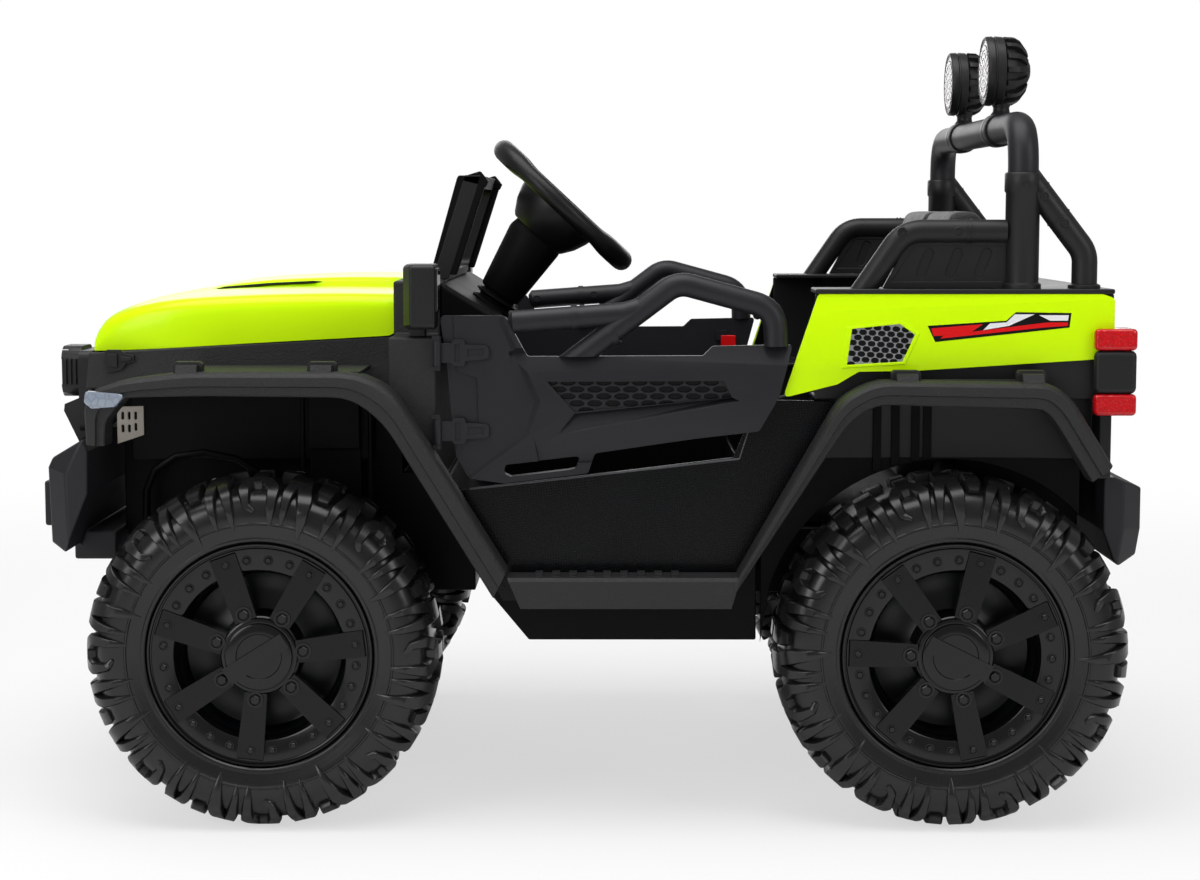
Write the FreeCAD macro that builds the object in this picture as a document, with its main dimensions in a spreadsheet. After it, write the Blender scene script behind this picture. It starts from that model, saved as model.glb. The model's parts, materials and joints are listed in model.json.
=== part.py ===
import FreeCAD, Part
import math
import os
import re
import Sketcher

# Child's ride-on off-road 4x4, battery driven, two seats.
# Millimetres. +X forward, +Y to the vehicle's left, +Z up. The origin is on the
# floor, under the middle of the overall length and width.

# Driving dimensions, one cell each
sizes_mm = {
    # whole vehicle
    "overall_width": 800,
    "wheelbase": 815,
    "front_overhang": 292,
    "rear_overhang": 233,
    "skin": 5,
    "fit_gap": 0.3,
    "tube_sides": 10,
    "bar_sides": 16,
    "overrun": 20,
    # wheels
    "wheel_radius": 210,
    "tyre_width": 156,
    "carcass_depth": 9,
    "tyre_depth": 76,
    "shoulder_drop": 26,
    "tread_inset": 20,
    "lug_width": 22,
    "lug_count": 16,
    "lug_reach": 42,
    "rim_wall": 8,
    "rim_ring": 21,
    "rim_sides": 28,
    "spoke_count": 7,
    "spoke_width": 24,
    "spoke_thickness": 14,
    "hub_radius": 44,
    "axle_radius": 6,
    "axle_play": 0.1,
    # steering
    "kingpin_inset": 22,
    "knuckle_thickness": 7,
    "knuckle_height": 66,
    "knuckle_half_width": 14,
    "sleeve_radius": 12,
    "sleeve_height": 50,
    "beam_radius": 10,
    "steering_arm": 60,
    "arm_width": 20,
    "arm_hole_radius": 8,
    "link_radius": 5,
    "link_pin_radius": 3.5,
    "steering_offset": 140,
    "steering_rise": 526,
    "steering_back": 352,
    "steering_ring": 100,
    "grip_sides": 24,
    "grip_radius": 11,
    "steering_hub_radius": 50,
    "steering_hub_depth": 46,
    "column_top_radius": 34,
    "column_foot_radius": 24,
    "column_length": 138,
    "bellows_radius": 30,
    "bellows_length": 40,
    "bellows_folds": 3,
    "steering_spokes": 3,
    # angles in degrees below the horizontal
    "steering_lean": 47,
    "column_lean": 57,
    # chassis and cabin
    "floor_lift": 9,
    "cabin_inset": 15,
    "nose_inset": 62,
    "fender_inset": 50,
    "toe_reach": 64,
    "toe_foot": 108,
    "toe_height": 53,
    "nose_lift": 40,
    "wheel_clearance": 12,
    "rear_box_lift": 50,
    "seat_lift": 130,
    "cowl_setback": 206,
    "cowl_depth": 56,
    "cowl_height": 180,
    "cowl_shoulder_inset": 75,
    "pillar_reach": 190,
    "sill_lift": 191,
    "battery_length": 150,
    "battery_width": 100,
    "battery_height": 70,
    # body panels
    "flare_reach": 50,
    "flare_lip": 32,
    "flare_setback": 3,
    "flare_step": 5,
    "flare_bevel": 7,
    "arch_lift": 303,
    "flare_height": 33,
    "arch_half_length": 175,
    "step_height": 36,
    "step_lift": 57,
    "tread_bumps": 9,
    "bump_pitch": 20,
    "bump_length": 9,
    "bump_width": 26,
    "bump_height": 3,
    "bonnet_inset": 100,
    "nose_narrowing": 35,
    "bonnet_length": 374,
    "bonnet_side": 54,
    "bonnet_edge_lift": 368,
    "bonnet_edge_drop": 21,
    "bonnet_corner": 20,
    "scoop_half_width": 120,
    "scoop_rise": 10,
    "body_top_lift": 422,
    "deck_thickness": 6,
    "deck_arm_width": 68,
    "vent_depth": 2,
    "tailgate_step": 4,
    "tailgate_border": 60,
    "tailgate_thickness": 6,
    "door_lift": 200,
    "door_height": 197,
    "door_thickness": 17,
    "door_proud": 10,
    "door_gap": 5,
    "mesh_depth": 6,
    "door_step": 3,
    "door_bevel": 7,
    "door_bevel_height": 16,
    "door_rail_radius": 14,
    "door_rail_bend": 34,
    # front end
    "grille_thickness": 16,
    "grille_height": 100,
    "headlamp_radius": 27,
    "headlamp_depth": 10,
    "pod_width": 74,
    "pod_height": 63,
    "pod_depth": 24,
    "pod_rib": 3,
    "pod_ribs": 4,
    "slot_count": 4,
    "slot_height": 9,
    "slot_half_width": 104,
    "guard_depth": 36,
    "guard_height": 65,
    "guard_openings": 5,
    "headlamp_inset": 50,
    "bumper_height": 146,
    "bumper_depth": 54,
    "bumper_inset": 50,
    "bumper_bevel": 26,
    "edge_bevel": 4,
    "bumper_lift": 100,
    "nose_plate_depth": 21,
    "nose_plate_height": 56,
    "skid_height": 24,
    "indicator_length": 48,
    "indicator_height": 24,
    "indicator_thickness": 3,
    # windscreen and mirrors
    "screen_height": 128,
    "screen_lean": 41,
    "screen_post": 20,
    "screen_inset": 80,
    "mirror_width": 60,
    "mirror_height": 76,
    "mirror_depth": 38,
    "mirror_inset": 18,
    "mirror_glass": 3,
    "mirror_bevel": 9,
    # roll bar and lamps
    "post_radius": 20,
    "hoop_radius": 18,
    "post_inset": 24,
    "post_behind": 81,
    "sleeve_rise": 136,
    "hoop_rise": 191,
    "hoop_bend": 48,
    "brace_radius": 15,
    "brace_reach": 74,
    "brace_knee": 38,
    "brace_top": 118,
    "armrest_radius": 14,
    "armrest_rise": 67,
    "armrest_length": 172,
    "armrest_lean": 33,
    "armrest_bend": 40,
    "armrest_panel": 8,
    "armrest_slots": 3,
    "armrest_slot": 11,
    "spot_radius": 43,
    "spot_depth": 57,
    "spot_offset": 148,
    "spot_lens": 12,
    "spot_ribs": 3,
    "spot_rib": 3,
    "stalk_radius": 11,
    "stalk_height": 17,
    "collar_radius": 21,
    "collar_length": 36,
    # seats
    "seat_inset": 9,
    "seat_split": 14,
    "seat_length": 205,
    "cushion_height": 55,
    "seat_back_height": 345,
    "seat_back_depth": 52,
    # rear end
    "tail_lamp_height": 102,
    "tail_lamp_depth": 50,
    "tail_lamp_width": 46,
    "tail_lamp_proud": 14,
    "rear_bumper_depth": 50,
    "rear_bumper_height": 107,
    "rear_bumper_lift": 97,
    "rear_bumper_inset": 20,
    "rear_bumper_stand": 46,
    "gearbox_length": 92,
    "gearbox_width": 60,
    "gearbox_drop": 36,
    "latch_length": 16,
    "latch_height": 14,
    "latch_thickness": 5,
    # door hinges
    "hinge_radius": 5,
    "hinge_pin_radius": 2,
    "hinge_height": 30,
    "hinge_reach": 50,
    "hinge_leaf": 3,
    "hinge_ear": 5,
    "hinge_foot": 3,
    "hinge_low": 246,
    "hinge_high": 338,
}

doc = FreeCAD.newDocument("ride_on_four_by_four")
sheet = doc.addObject("Spreadsheet::Sheet", "sizes")
for row, (alias, value) in enumerate(sizes_mm.items(), start=1):
    sheet.set(f"A{row}", alias)
    sheet.set(f"B{row}", str(value))
    sheet.setAlias(f"B{row}", alias)
doc.recompute()

nodes = {}


# Text to sheet expressions


def cell(text):
    """An expression over the sheet, from text that names the sheet's aliases."""
    return re.sub(r"[a-z_]+", lambda found: sheet_word(found.group()), str(text))


def sheet_word(word):
    return "sizes." + word if word in sizes_mm else word


def size(text):
    """The value of such an expression."""
    return float(sheet.evalExpression(cell(text)))


def bind(item, **expressions):
    for name, text in expressions.items():
        item.setExpression(name.replace("__", "."), cell(text))


def put(item, x="0", y="0", z="0"):
    bind(item, Placement__Base__x=x, Placement__Base__y=y, Placement__Base__z=z)


# Sketches

planes = {"side": ("XZ_Plane", -1), "plan": ("XY_Plane", 1), "front": ("YZ_Plane", 1)}


def new_body(name):
    return doc.addObject("PartDesign::Body", name)


def new_sketch(body, view, offset="0"):
    role, sign = planes[view]
    support = [feature for feature in body.Origin.OriginFeatures if feature.Role == role][0]
    sketch = body.newObject("Sketcher::SketchObject", "outline")
    sketch.AttachmentSupport = (support, [""])
    sketch.MapMode = "FlatFace"
    sketch.setExpression("AttachmentOffset.Base.z", cell(f"{sign} * ({offset})"))
    return sketch


def flat(point):
    return FreeCAD.Vector(point[0], point[1], 0)


def draw(sketch, points, closed=True):
    """Lines through the points, each (u, v) or (u, v, rounding), held by the sheet."""
    count = len(points)
    places = [(size(p[0]), size(p[1])) for p in points]
    starts, ends, arcs = list(places), list(places), {}
    for i, p in enumerate(points):
        if len(p) < 3:
            continue
        here = FreeCAD.Vector(*places[i], 0)
        back = (FreeCAD.Vector(*places[i - 1], 0) - here).normalize()
        onward = (FreeCAD.Vector(*places[(i + 1) % count], 0) - here).normalize()
        half = back.getAngle(onward) / 2
        rounding = size(p[2])
        reach = rounding / math.tan(half)
        middle = here + (back + onward).normalize() * (rounding / math.sin(half))
        first, last = here + back * reach, here + onward * reach
        ends[i], starts[i] = (first.x, first.y), (last.x, last.y)
        arcs[i] = (middle, rounding, first, last, back.cross(onward).z < 0)
    lines = {}
    for i in range(count if closed else count - 1):
        following = (i + 1) % count
        lines[i] = sketch.addGeometry(Part.LineSegment(flat(starts[i]), flat(ends[following])), False)
    for i, (middle, rounding, first, last, left_turn) in arcs.items():
        circle = Part.Circle(middle, FreeCAD.Vector(0, 0, 1), rounding)
        one, two = (first, last) if left_turn else (last, first)
        arc = Part.ArcOfCircle(
            circle,
            math.atan2(one.y - middle.y, one.x - middle.x),
            math.atan2(two.y - middle.y, two.x - middle.x),
        )
        arcs[i] = (sketch.addGeometry(arc, False), 1 if left_turn else 2, 2 if left_turn else 1)
    for i, p in enumerate(points):
        before = lines.get((i - 1) % count)
        after = lines.get(i)
        if i in arcs:
            arc, begins, stops = arcs[i]
            sketch.addConstraint(Sketcher.Constraint("Tangent", before, 2, arc, begins))
            sketch.addConstraint(Sketcher.Constraint("Tangent", arc, stops, after, 1))
            at = sketch.addConstraint(Sketcher.Constraint("Radius", arc, size(p[2])))
            sketch.setExpression(f"Constraints[{at}]", cell(p[2]))
            corner = sketch.addGeometry(Part.Point(flat(places[i])), True)
            sketch.addConstraint(Sketcher.Constraint("PointOnObject", corner, 1, before))
            sketch.addConstraint(Sketcher.Constraint("PointOnObject", corner, 1, after))
            held, end = corner, 1
        elif after is not None:
            held, end = after, 1
            if before is not None:
                sketch.addConstraint(Sketcher.Constraint("Coincident", before, 2, after, 1))
        else:
            held, end = before, 2
        for kind, value, text in zip(("DistanceX", "DistanceY"), places[i], p):
            at = sketch.addConstraint(Sketcher.Constraint(kind, held, end, value))
            sketch.setExpression(f"Constraints[{at}]", cell(text))
    return sketch


def in_box(shares, start_u, start_v, length, height, rounding=None):
    """Points at shares of a box whose start and sides are sizes."""
    points = []
    for share in shares:
        point = [f"({start_u}) + ({length}) * {share[0]}", f"({start_v}) + ({height}) * {share[1]}"]
        if len(share) > 2:
            point.append(f"({rounding}) * {share[2]}")
        points.append(point)
    return points


def rectangle(low_u, high_u, low_v, high_v, rounding=None):
    corners = [(low_u, low_v), (high_u, low_v), (high_u, high_v), (low_u, high_v)]
    return [corner + (rounding,) for corner in corners] if rounding else corners


# Solids


def extrude(body, view, points, start, thickness, cutting=False):
    """Adds or cuts the outline from start, over thickness, along the view's positive axis."""
    sketch = draw(new_sketch(body, view, start), points)
    kind = "PartDesign::Pocket" if cutting else "PartDesign::Pad"
    feature = body.newObject(kind, "cut" if cutting else "block")
    feature.Profile = sketch
    feature.Reversed = (planes[view][1] < 0) != cutting
    feature.setExpression("Length", cell(thickness))
    body.Tip = feature
    return feature


def block(name, view, points, start, thickness):
    body = new_body(name)
    extrude(body, view, points, start, thickness)
    return body


def across(name, points, half_width):
    """A side outline run across the vehicle, as far to each side of its middle."""
    return block(name, "side", points, f"-({half_width})", f"2 * ({half_width})")


def bar(name, axis, x, y, z, radius, length, sides=None):
    """A bar from the point along a positive axis: round, or with flat sides where nothing turns on it."""
    item = doc.addObject("Part::Prism" if sides else "Part::Cylinder", name)
    bind(item, Height=length)
    if sides:
        bind(item, Polygon=sides, Circumradius=radius)
    else:
        bind(item, Radius=radius)
    if axis == "x":
        item.Placement.Rotation = FreeCAD.Rotation(FreeCAD.Vector(0, 1, 0), 90)
    if axis == "y":
        item.Placement.Rotation = FreeCAD.Rotation(FreeCAD.Vector(1, 0, 0), -90)
    put(item, x, y, z)
    return item


def box(name, x, y, z, length, width, height):
    item = doc.addObject("Part::Box", name)
    bind(item, Length=length, Width=width, Height=height)
    put(item, x, y, z)
    return item


def tube(name, view, offset, points, radius):
    """A bar bent along a path that lies in one plane, its round drawn with flat sides."""
    body = new_body(name)
    path = draw(new_sketch(body, view, offset), points, closed=False)
    doc.recompute()
    section = body.newObject("Sketcher::SketchObject", "section")
    section.AttachmentSupport = [(path, "Edge1"), (path, "Vertex1")]
    section.MapMode = "NormalToEdge"
    count = int(size("tube_sides"))
    turns = [(index + 1 / 2) * 360 / count for index in range(count)]
    draw(section, [(f"({radius}) * cos({turn})", f"({radius}) * sin({turn})") for turn in turns])
    pipe = body.newObject("PartDesign::AdditivePipe", "pipe")
    pipe.Profile = section
    pipe.Spine = path
    body.Tip = pipe
    return body


def many_sided(name, sides, rows):
    """Flat faces about the vertical between regular outlines, each a height and a radius to its corners."""
    count = int(size(sides))
    outlines = []
    for height, radius in rows:
        reach, level = size(radius), size(height)
        turns = [2 * math.pi * index / count for index in range(count)]
        outlines.append(
            [FreeCAD.Vector(reach * math.cos(turn), reach * math.sin(turn), level) for turn in turns]
        )
    loops = [outlines[0], outlines[-1]]
    for low, high in zip(outlines, outlines[1:]):
        for index in range(count):
            loops.append([low[index - 1], low[index], high[index], high[index - 1]])
    faces = [Part.Face(Part.makePolygon(loop + loop[:1])) for loop in loops]
    solid = Part.Solid(Part.Shell(faces))
    if solid.Volume < 0:
        solid.reverse()
    item = doc.addObject("Part::Feature", name)
    item.Shape = solid
    return item


def bevel(body, width, chosen):
    """Chamfers those edges of the body that the test picks by their middle."""
    doc.recompute()
    base = body.Tip
    names = []
    for index, edge in enumerate(base.Shape.Edges, start=1):
        if chosen(edge.CenterOfMass, edge.tangentAt(edge.FirstParameter)):
            names.append(f"Edge{index}")
    if not names:
        raise SystemExit(f"{body.Name} has no edge to bevel")
    feature = body.newObject("PartDesign::Chamfer", "bevel")
    feature.Base = (base, names)
    bind(feature, Size=width)
    body.Tip = feature
    return feature


def near(value, text):
    """Whether a coordinate lies on the plane that the expression gives."""
    return abs(value - size(text)) < size("fit_gap")


def fuse(name, *items):
    item = doc.addObject("Part::MultiFuse", name)
    item.Shapes = list(items)
    item.Refine = True
    return item


def cut(name, base, tool):
    item = doc.addObject("Part::Cut", name)
    item.Base = base
    item.Tool = tool
    return item


def mirrored(name, source):
    item = doc.addObject("Part::Mirroring", name)
    item.Source = source
    item.Normal = FreeCAD.Vector(0, 1, 0)
    return item


def group(name, *items):
    item = doc.addObject("Part::Compound", name)
    item.Links = list(items)
    return item


def moved(name, source, x="0", y="0", z="0"):
    item = group(name, source)
    put(item, x, y, z)
    return item


def node(label, item):
    item.Label = label
    nodes[label] = item
    return item


def node_pair(label, left):
    """The left piece and its mirror image as two nodes."""
    node(label + "_left", left)
    node(label + "_right", mirrored(label + "_mirror", left))


def node_both(label, left):
    """The left piece and its mirror image as two solids of one node."""
    node(label, group(label + "_both", left, mirrored(label + "_mirror", left)))


# Places that more than one piece uses

front_axle = "((wheelbase + rear_overhang - front_overhang) / 2)"
rear_axle = f"({front_axle} - wheelbase)"
front_end = f"({front_axle} + front_overhang)"
rear_end = f"({rear_axle} - rear_overhang)"
body_half = "(overall_width / 2 - flare_reach)"
wheel_offset = "((overall_width - tyre_width) / 2)"
wheel_inner = "(overall_width / 2 - tyre_width)"
kingpin_offset = f"({wheel_inner} - kingpin_inset)"
bead_radius = "(wheel_radius - tyre_depth)"
nose_half = f"({kingpin_offset} - nose_inset)"
rear_box_half = f"({wheel_inner} - wheel_clearance)"
cowl_back = f"({front_axle} - cowl_setback)"
cowl_front = f"({cowl_back} + cowl_depth)"
door_front = f"({cowl_back} - door_gap)"
hinge_place = f"({cowl_back} - door_gap / 2)"
hinge_offset = f"({body_half} + door_proud)"
pillar = f"({rear_axle} + pillar_reach)"
cabin_half = f"({body_half} - cabin_inset)"
shoulder_half = f"({body_half} - cowl_shoulder_inset)"
bonnet_half = f"({body_half} - bonnet_inset)"
bonnet_nose_half = f"({bonnet_half} - nose_narrowing)"
post_offset = f"({body_half} - post_inset)"
seat_width = f"({rear_box_half} - seat_split / 2 - seat_inset)"
floor_height = "(wheel_radius + floor_lift)"
sill_height = "(wheel_radius + sill_lift)"
arch_height = "(wheel_radius + arch_lift)"
flare_top = f"({arch_height} + flare_height)"
body_top = "(wheel_radius + body_top_lift)"
seat_height = "(wheel_radius + seat_lift)"
rear_face = f"({rear_end} + rear_bumper_stand)"
bonnet_front = f"({cowl_front} + bonnet_length)"
post_place = f"({rear_axle} - post_behind)"
nose_bottom = "(wheel_radius + nose_lift)"
rear_bottom = "(wheel_radius + rear_box_lift)"
step_bottom = "(wheel_radius + step_lift)"
bumper_back = f"({front_end} - nose_plate_depth - bumper_depth)"
cowl_top = f"({sill_height} + cowl_height)"
deck_top = f"({body_top} + deck_thickness)"


# Wheels


def around_wheel(item, turn, place="0"):
    """Turns a piece drawn about the vertical so that it runs about the wheel's axle."""
    upright = FreeCAD.Rotation(FreeCAD.Vector(1, 0, 0), -90)
    item.Placement.Rotation = FreeCAD.Rotation(FreeCAD.Vector(0, 1, 0), turn) * upright
    put(item, "0", place, "0")


def make_carcass(count):
    """Tyre without its lugs: flat bands, two sides to each lug outside and one to each at the bead."""
    half = "(tyre_width / 2)"
    tread = "(wheel_radius - carcass_depth)"
    corner = f"cos(180 / {2 * count})"
    rows = [
        (f"-{half}", f"({tread} - shoulder_drop) / {corner}"),
        (f"-{half} + tread_inset", f"{tread} / {corner}"),
        (f"{half} - tread_inset", f"{tread} / {corner}"),
        (half, f"({tread} - shoulder_drop) / {corner}"),
    ]
    skin = many_sided("carcass", 2 * count, rows)
    around_wheel(skin, 180 / (2 * count))
    bore = doc.addObject("Part::Prism", "bead_bore")
    bore.Polygon = count
    bind(bore, Circumradius=f"{bead_radius} / cos(180 / {count})", Height="2 * tyre_width")
    around_wheel(bore, 180 / count, "-tyre_width")
    return cut("carcass_bored", skin, bore)


def make_tyre():
    """Carcass with deep lugs over both shoulders; the left wheel's tyre, centred on its axle."""
    count = int(size("lug_count"))
    lug_shares = [(0.02, 0), (0.02, 1), (0.74, 1), (1, 0.62), (0.9, 0)]
    lugs = []
    for side, turn in ((1, 0), (-1, 0.5)):
        outline = in_box(
            lug_shares, "0", "wheel_radius - lug_reach", f"{side} * tyre_width / 2", "lug_reach"
        )
        lug = new_body("lug")
        pad = lug.newObject("PartDesign::Pad", "block")
        pad.Profile = draw(new_sketch(lug, "front"), outline)
        pad.Midplane = True
        bind(pad, Length="lug_width")
        lug.Tip = pad
        for index in range(count):
            turned = group("lug_turned", lug)
            turned.Placement.Rotation = FreeCAD.Rotation(
                FreeCAD.Vector(0, 1, 0), (index + turn) * 360 / count,
            )
            lugs.append(turned)
    return fuse("tyre_left", make_carcass(count), *lugs)


def make_rim():
    """Drum with a dished disc, spokes, clamp ring and hub; the left rim, centred on its axle."""
    outer = "(tyre_width / 2 - carcass_depth)"
    seat = f"({bead_radius} - fit_gap)"
    disc = "(tyre_width / 8)"
    boss = "(2 * axle_radius + rim_wall)"

    def drum(name, radius, start, end):
        item = doc.addObject("Part::Prism", name)
        bind(item, Polygon="rim_sides", Circumradius=radius, Height=f"({end}) - ({start})")
        around_wheel(item, 0, start)
        return item

    hollow_back = cut(
        "drum_open_behind", drum("drum", seat, f"-{outer}", outer),
        drum("back_hollow", f"{seat} - rim_wall", f"-{outer} - overrun", disc),
    )
    hollow = cut(
        "drum_open", hollow_back, drum(
            "front_hollow", f"{seat} - rim_ring", f"{disc} + rim_wall", f"{outer} + overrun",
        )
    )
    spoke = box(
        "rim_spoke", "-spoke_width / 2", f"{outer} - spoke_thickness", "hub_radius - rim_wall",
        "spoke_width", "spoke_thickness", f"{seat} - rim_ring / 2 - hub_radius + rim_wall",
    )
    spokes = []
    for index in range(int(size("spoke_count"))):
        turned = group(f"rim_spoke_{index}", spoke)
        turned.Placement.Rotation = FreeCAD.Rotation(
            FreeCAD.Vector(0, 1, 0), index * 360 / size("spoke_count"),
        )
        spokes.append(turned)
    solid = fuse(
        "rim_solid", hollow, drum("boss", boss, f"-{outer}", f"{disc} + rim_wall / 2"),
        drum("hub", "hub_radius", f"{disc} + rim_wall / 2", outer), *spokes,
    )
    bore = bar(
        "rim_bore", "y", "0", f"-{outer} - overrun", "0", "axle_radius + axle_play",
        f"{outer} + overrun + {disc} + rim_wall",
    )
    return cut("rim_left", solid, bore)


def make_wheels():
    tyre, rim = make_tyre(), make_rim()
    pieces = {"left": (tyre, rim), "right": (mirrored("tyre_right", tyre), mirrored("rim_right", rim))}
    for end, place in (("front", front_axle), ("rear", rear_axle)):
        for side, sign in (("left", ""), ("right", "-")):
            for part, source in zip(("tyre", "rim"), pieces[side]):
                label = f"{part}_{end}_{side}"
                node(label, moved(label, source, place, sign + wheel_offset, "wheel_radius"))


# Axles and steering


def make_front_axle():
    low = "wheel_radius - sleeve_height / 2"
    beam = bar(
        "beam", "y", front_axle, f"-{kingpin_offset}", "wheel_radius", "beam_radius",
        f"2 * {kingpin_offset}",
    )
    sleeve = bar("sleeve", "z", front_axle, kingpin_offset, low, "sleeve_radius", "sleeve_height")
    bracket = box(
        "bracket",
        f"{front_axle} - 2 * beam_radius",
        f"{nose_half} - 4 * beam_radius",
        "wheel_radius",
        "4 * beam_radius",
        "beam_radius",
        "nose_lift",
    )
    solid = fuse(
        "beam_with_sleeves", beam, sleeve, mirrored(
            "sleeve_r", sleeve), bracket, mirrored("bracket_r", bracket,
        )
    )
    hole = bar(
        "kingpin_hole", "z", front_axle, kingpin_offset, f"{low} - overrun",
        "axle_radius + axle_play", "sleeve_height + 2 * overrun",
    )
    bored = cut("bored_left", solid, hole)
    node("front_axle", cut("bored_both", bored, mirrored("kingpin_hole_r", hole)))


def make_knuckle():
    """C-shaped upright with its kingpin, stub axle and steering arm."""
    half = "knuckle_height / 2"
    low = f"wheel_radius - {half}"
    inner = f"{kingpin_offset} - knuckle_half_width"
    back = f"{kingpin_offset} + sleeve_radius + axle_play * 20"
    width = f"{back} + knuckle_thickness - ({inner})"
    plates = []
    for name, height in (("lower", low), ("upper", f"wheel_radius + {half} - knuckle_thickness")):
        plates.append(
            box(
                name + "_lug", f"{front_axle} - knuckle_half_width", inner, height,
                "2 * knuckle_half_width", width, "knuckle_thickness",
            )
        )
    web = box(
        "web", f"{front_axle} - knuckle_half_width", back, low,
        "2 * knuckle_half_width", "knuckle_thickness", "knuckle_height",
    )
    pin = bar("kingpin", "z", front_axle, kingpin_offset, low, "axle_radius", "knuckle_height")
    stub = bar(
        "stub", "y", front_axle, back, "wheel_radius", "axle_radius",
        f"{wheel_offset} - ({back}) + tyre_width / 8",
    )
    arm = box(
        "arm", f"{front_axle} - steering_arm - arm_width / 2", f"{kingpin_offset} - arm_width / 2", low,
        "steering_arm", "arm_width", "knuckle_thickness",
    )
    hole = bar(
        "link_hole", "z", f"{front_axle} - steering_arm", kingpin_offset, f"{low} - overrun",
        "arm_hole_radius", "2 * overrun",
    )
    solid = fuse("knuckle_solid", *plates, web, pin, stub, arm)
    node_pair("knuckle", cut("knuckle_bored", solid, hole))


def make_tie_rod():
    low = "wheel_radius - knuckle_height / 2"
    top = f"{low} - fit_gap"
    rod = bar(
        "rod", "y", f"{front_axle} - steering_arm", f"-{kingpin_offset}", f"{top} - link_radius",
        "link_radius", f"2 * {kingpin_offset}",
    )
    eye = bar(
        "eye", "z", f"{front_axle} - steering_arm", kingpin_offset, f"{top} - 2 * link_radius",
        "2 * link_radius", "2 * link_radius",
    )
    pin = bar(
        "eye_pin", "z", f"{front_axle} - steering_arm", kingpin_offset, f"{top} - link_radius",
        "link_pin_radius", "link_radius + knuckle_thickness",
    )
    node("tie_rod", fuse("rod_with_eyes", rod, eye, mirrored("eye_r", eye), pin, mirrored("pin_r", pin)))


def make_rear_axle():
    reach = f"({wheel_offset} + tyre_width / 8)"
    rod = bar("rear_rod", "y", rear_axle, f"-{reach}", "wheel_radius", "axle_radius", f"2 * {reach}")
    hanger = box(
        "hanger", f"{rear_axle} - 2 * beam_radius", f"{rear_box_half} / 2", "wheel_radius - beam_radius",
        "4 * beam_radius", "beam_radius", "rear_box_lift + beam_radius",
    )
    node("rear_axle", fuse("rear_axle_solid", rod, hanger, mirrored("hanger_r", hanger)))
    case = box(
        "case", f"{rear_axle} - gearbox_length / 2", f"{rear_box_half} - gearbox_width",
        "wheel_radius - gearbox_drop", "gearbox_length", "gearbox_width", "gearbox_drop + rear_box_lift",
    )
    hole = bar(
        "case_hole", "y", rear_axle, "0", "wheel_radius", "axle_radius + axle_play", "overall_width / 2",
    )
    node_both("gearboxes", cut("case_bored", case, hole))


def steering_point(along="0"):
    """A point on the steering wheel's axis, a distance below the wheel's centre."""
    return (
        f"{front_axle} - steering_back + ({along}) * cos(steering_lean)",
        "steering_offset",
        f"wheel_radius + steering_rise - ({along}) * sin(steering_lean)",
    )


def lean_back(item):
    """Sets a piece drawn about the vertical on the steering wheel's axis."""
    item.Placement.Rotation = FreeCAD.Rotation(FreeCAD.Vector(0, 1, 0), size("steering_lean") - 90)
    put(item, *steering_point())
    return item


def make_steering_wheel():
    """Ring with a six-sided grip, bowl-shaped hub and three spokes."""
    half = "grip_radius / 2"
    rows = {}
    for name, sign in (("outside", "+"), ("inside", "-")):
        rows[name] = [
            ("-grip_radius", f"steering_ring {sign} {half}"),
            ("0", f"steering_ring {sign} grip_radius"),
            ("grip_radius", f"steering_ring {sign} {half}"),
        ]
    ring = cut(
        "grip", many_sided("grip_outside", "grip_sides", rows["outside"]),
        many_sided("grip_inside", "grip_sides", rows["inside"]),
    )
    hub_shares = [(0, 0.66), (0.4, 0.93), (0.7, 1), (1.1, 1), (1.25, 0.8)]
    hub_rows = [
        (f"-steering_hub_depth + steering_hub_depth * {rise}", f"steering_hub_radius * {reach}")
        for rise, reach in hub_shares
    ]
    hub = many_sided("steering_hub", "bar_sides", hub_rows)
    spoke = box(
        "spoke", "steering_hub_radius / 2", "-grip_radius", "-grip_radius / 2",
        "steering_ring - steering_hub_radius / 2", "2 * grip_radius", "grip_radius",
    )
    spokes = []
    for index in range(int(size("steering_spokes"))):
        turned = group(f"spoke_{index}", spoke)
        turned.Placement.Rotation = FreeCAD.Rotation(
            FreeCAD.Vector(0, 0, 1), index * 360 / size("steering_spokes"),
        )
        spokes.append(turned)
    node("steering_wheel", lean_back(group("steering_turned", fuse("steering_solid", ring, hub, *spokes))))


def make_steering_column():
    """Tapered cover with a folded boot at its foot, seated on the dashboard."""
    plain = "(column_length - bellows_length)"
    rows = [("0", "column_top_radius"), (plain, "column_foot_radius")]
    folds = int(size("bellows_folds"))
    for fold in range(folds):
        rows.append((f"{plain} + bellows_length * {(fold + 1 / 2) / folds}", "bellows_radius"))
        rows.append((f"{plain} + bellows_length * {(fold + 1) / folds}", "column_foot_radius"))
    cone = many_sided("column", "bar_sides", rows)
    cone.Placement.Rotation = FreeCAD.Rotation(FreeCAD.Vector(0, 1, 0), 90 + size("column_lean"))
    put(cone, *steering_point("steering_hub_depth * 0.8"))
    above = box(
        "above_column", "-steering_ring", "-steering_ring", "-steering_hub_depth - 3 * fit_gap",
        "2 * steering_ring", "2 * steering_ring", "2 * steering_ring",
    )
    seated = cut("column_seated", cone, lean_back(group("above_turned", above)))
    node("steering_column", cut("column_on_dash", seated, nodes["dashboard"]))


# Chassis


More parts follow.
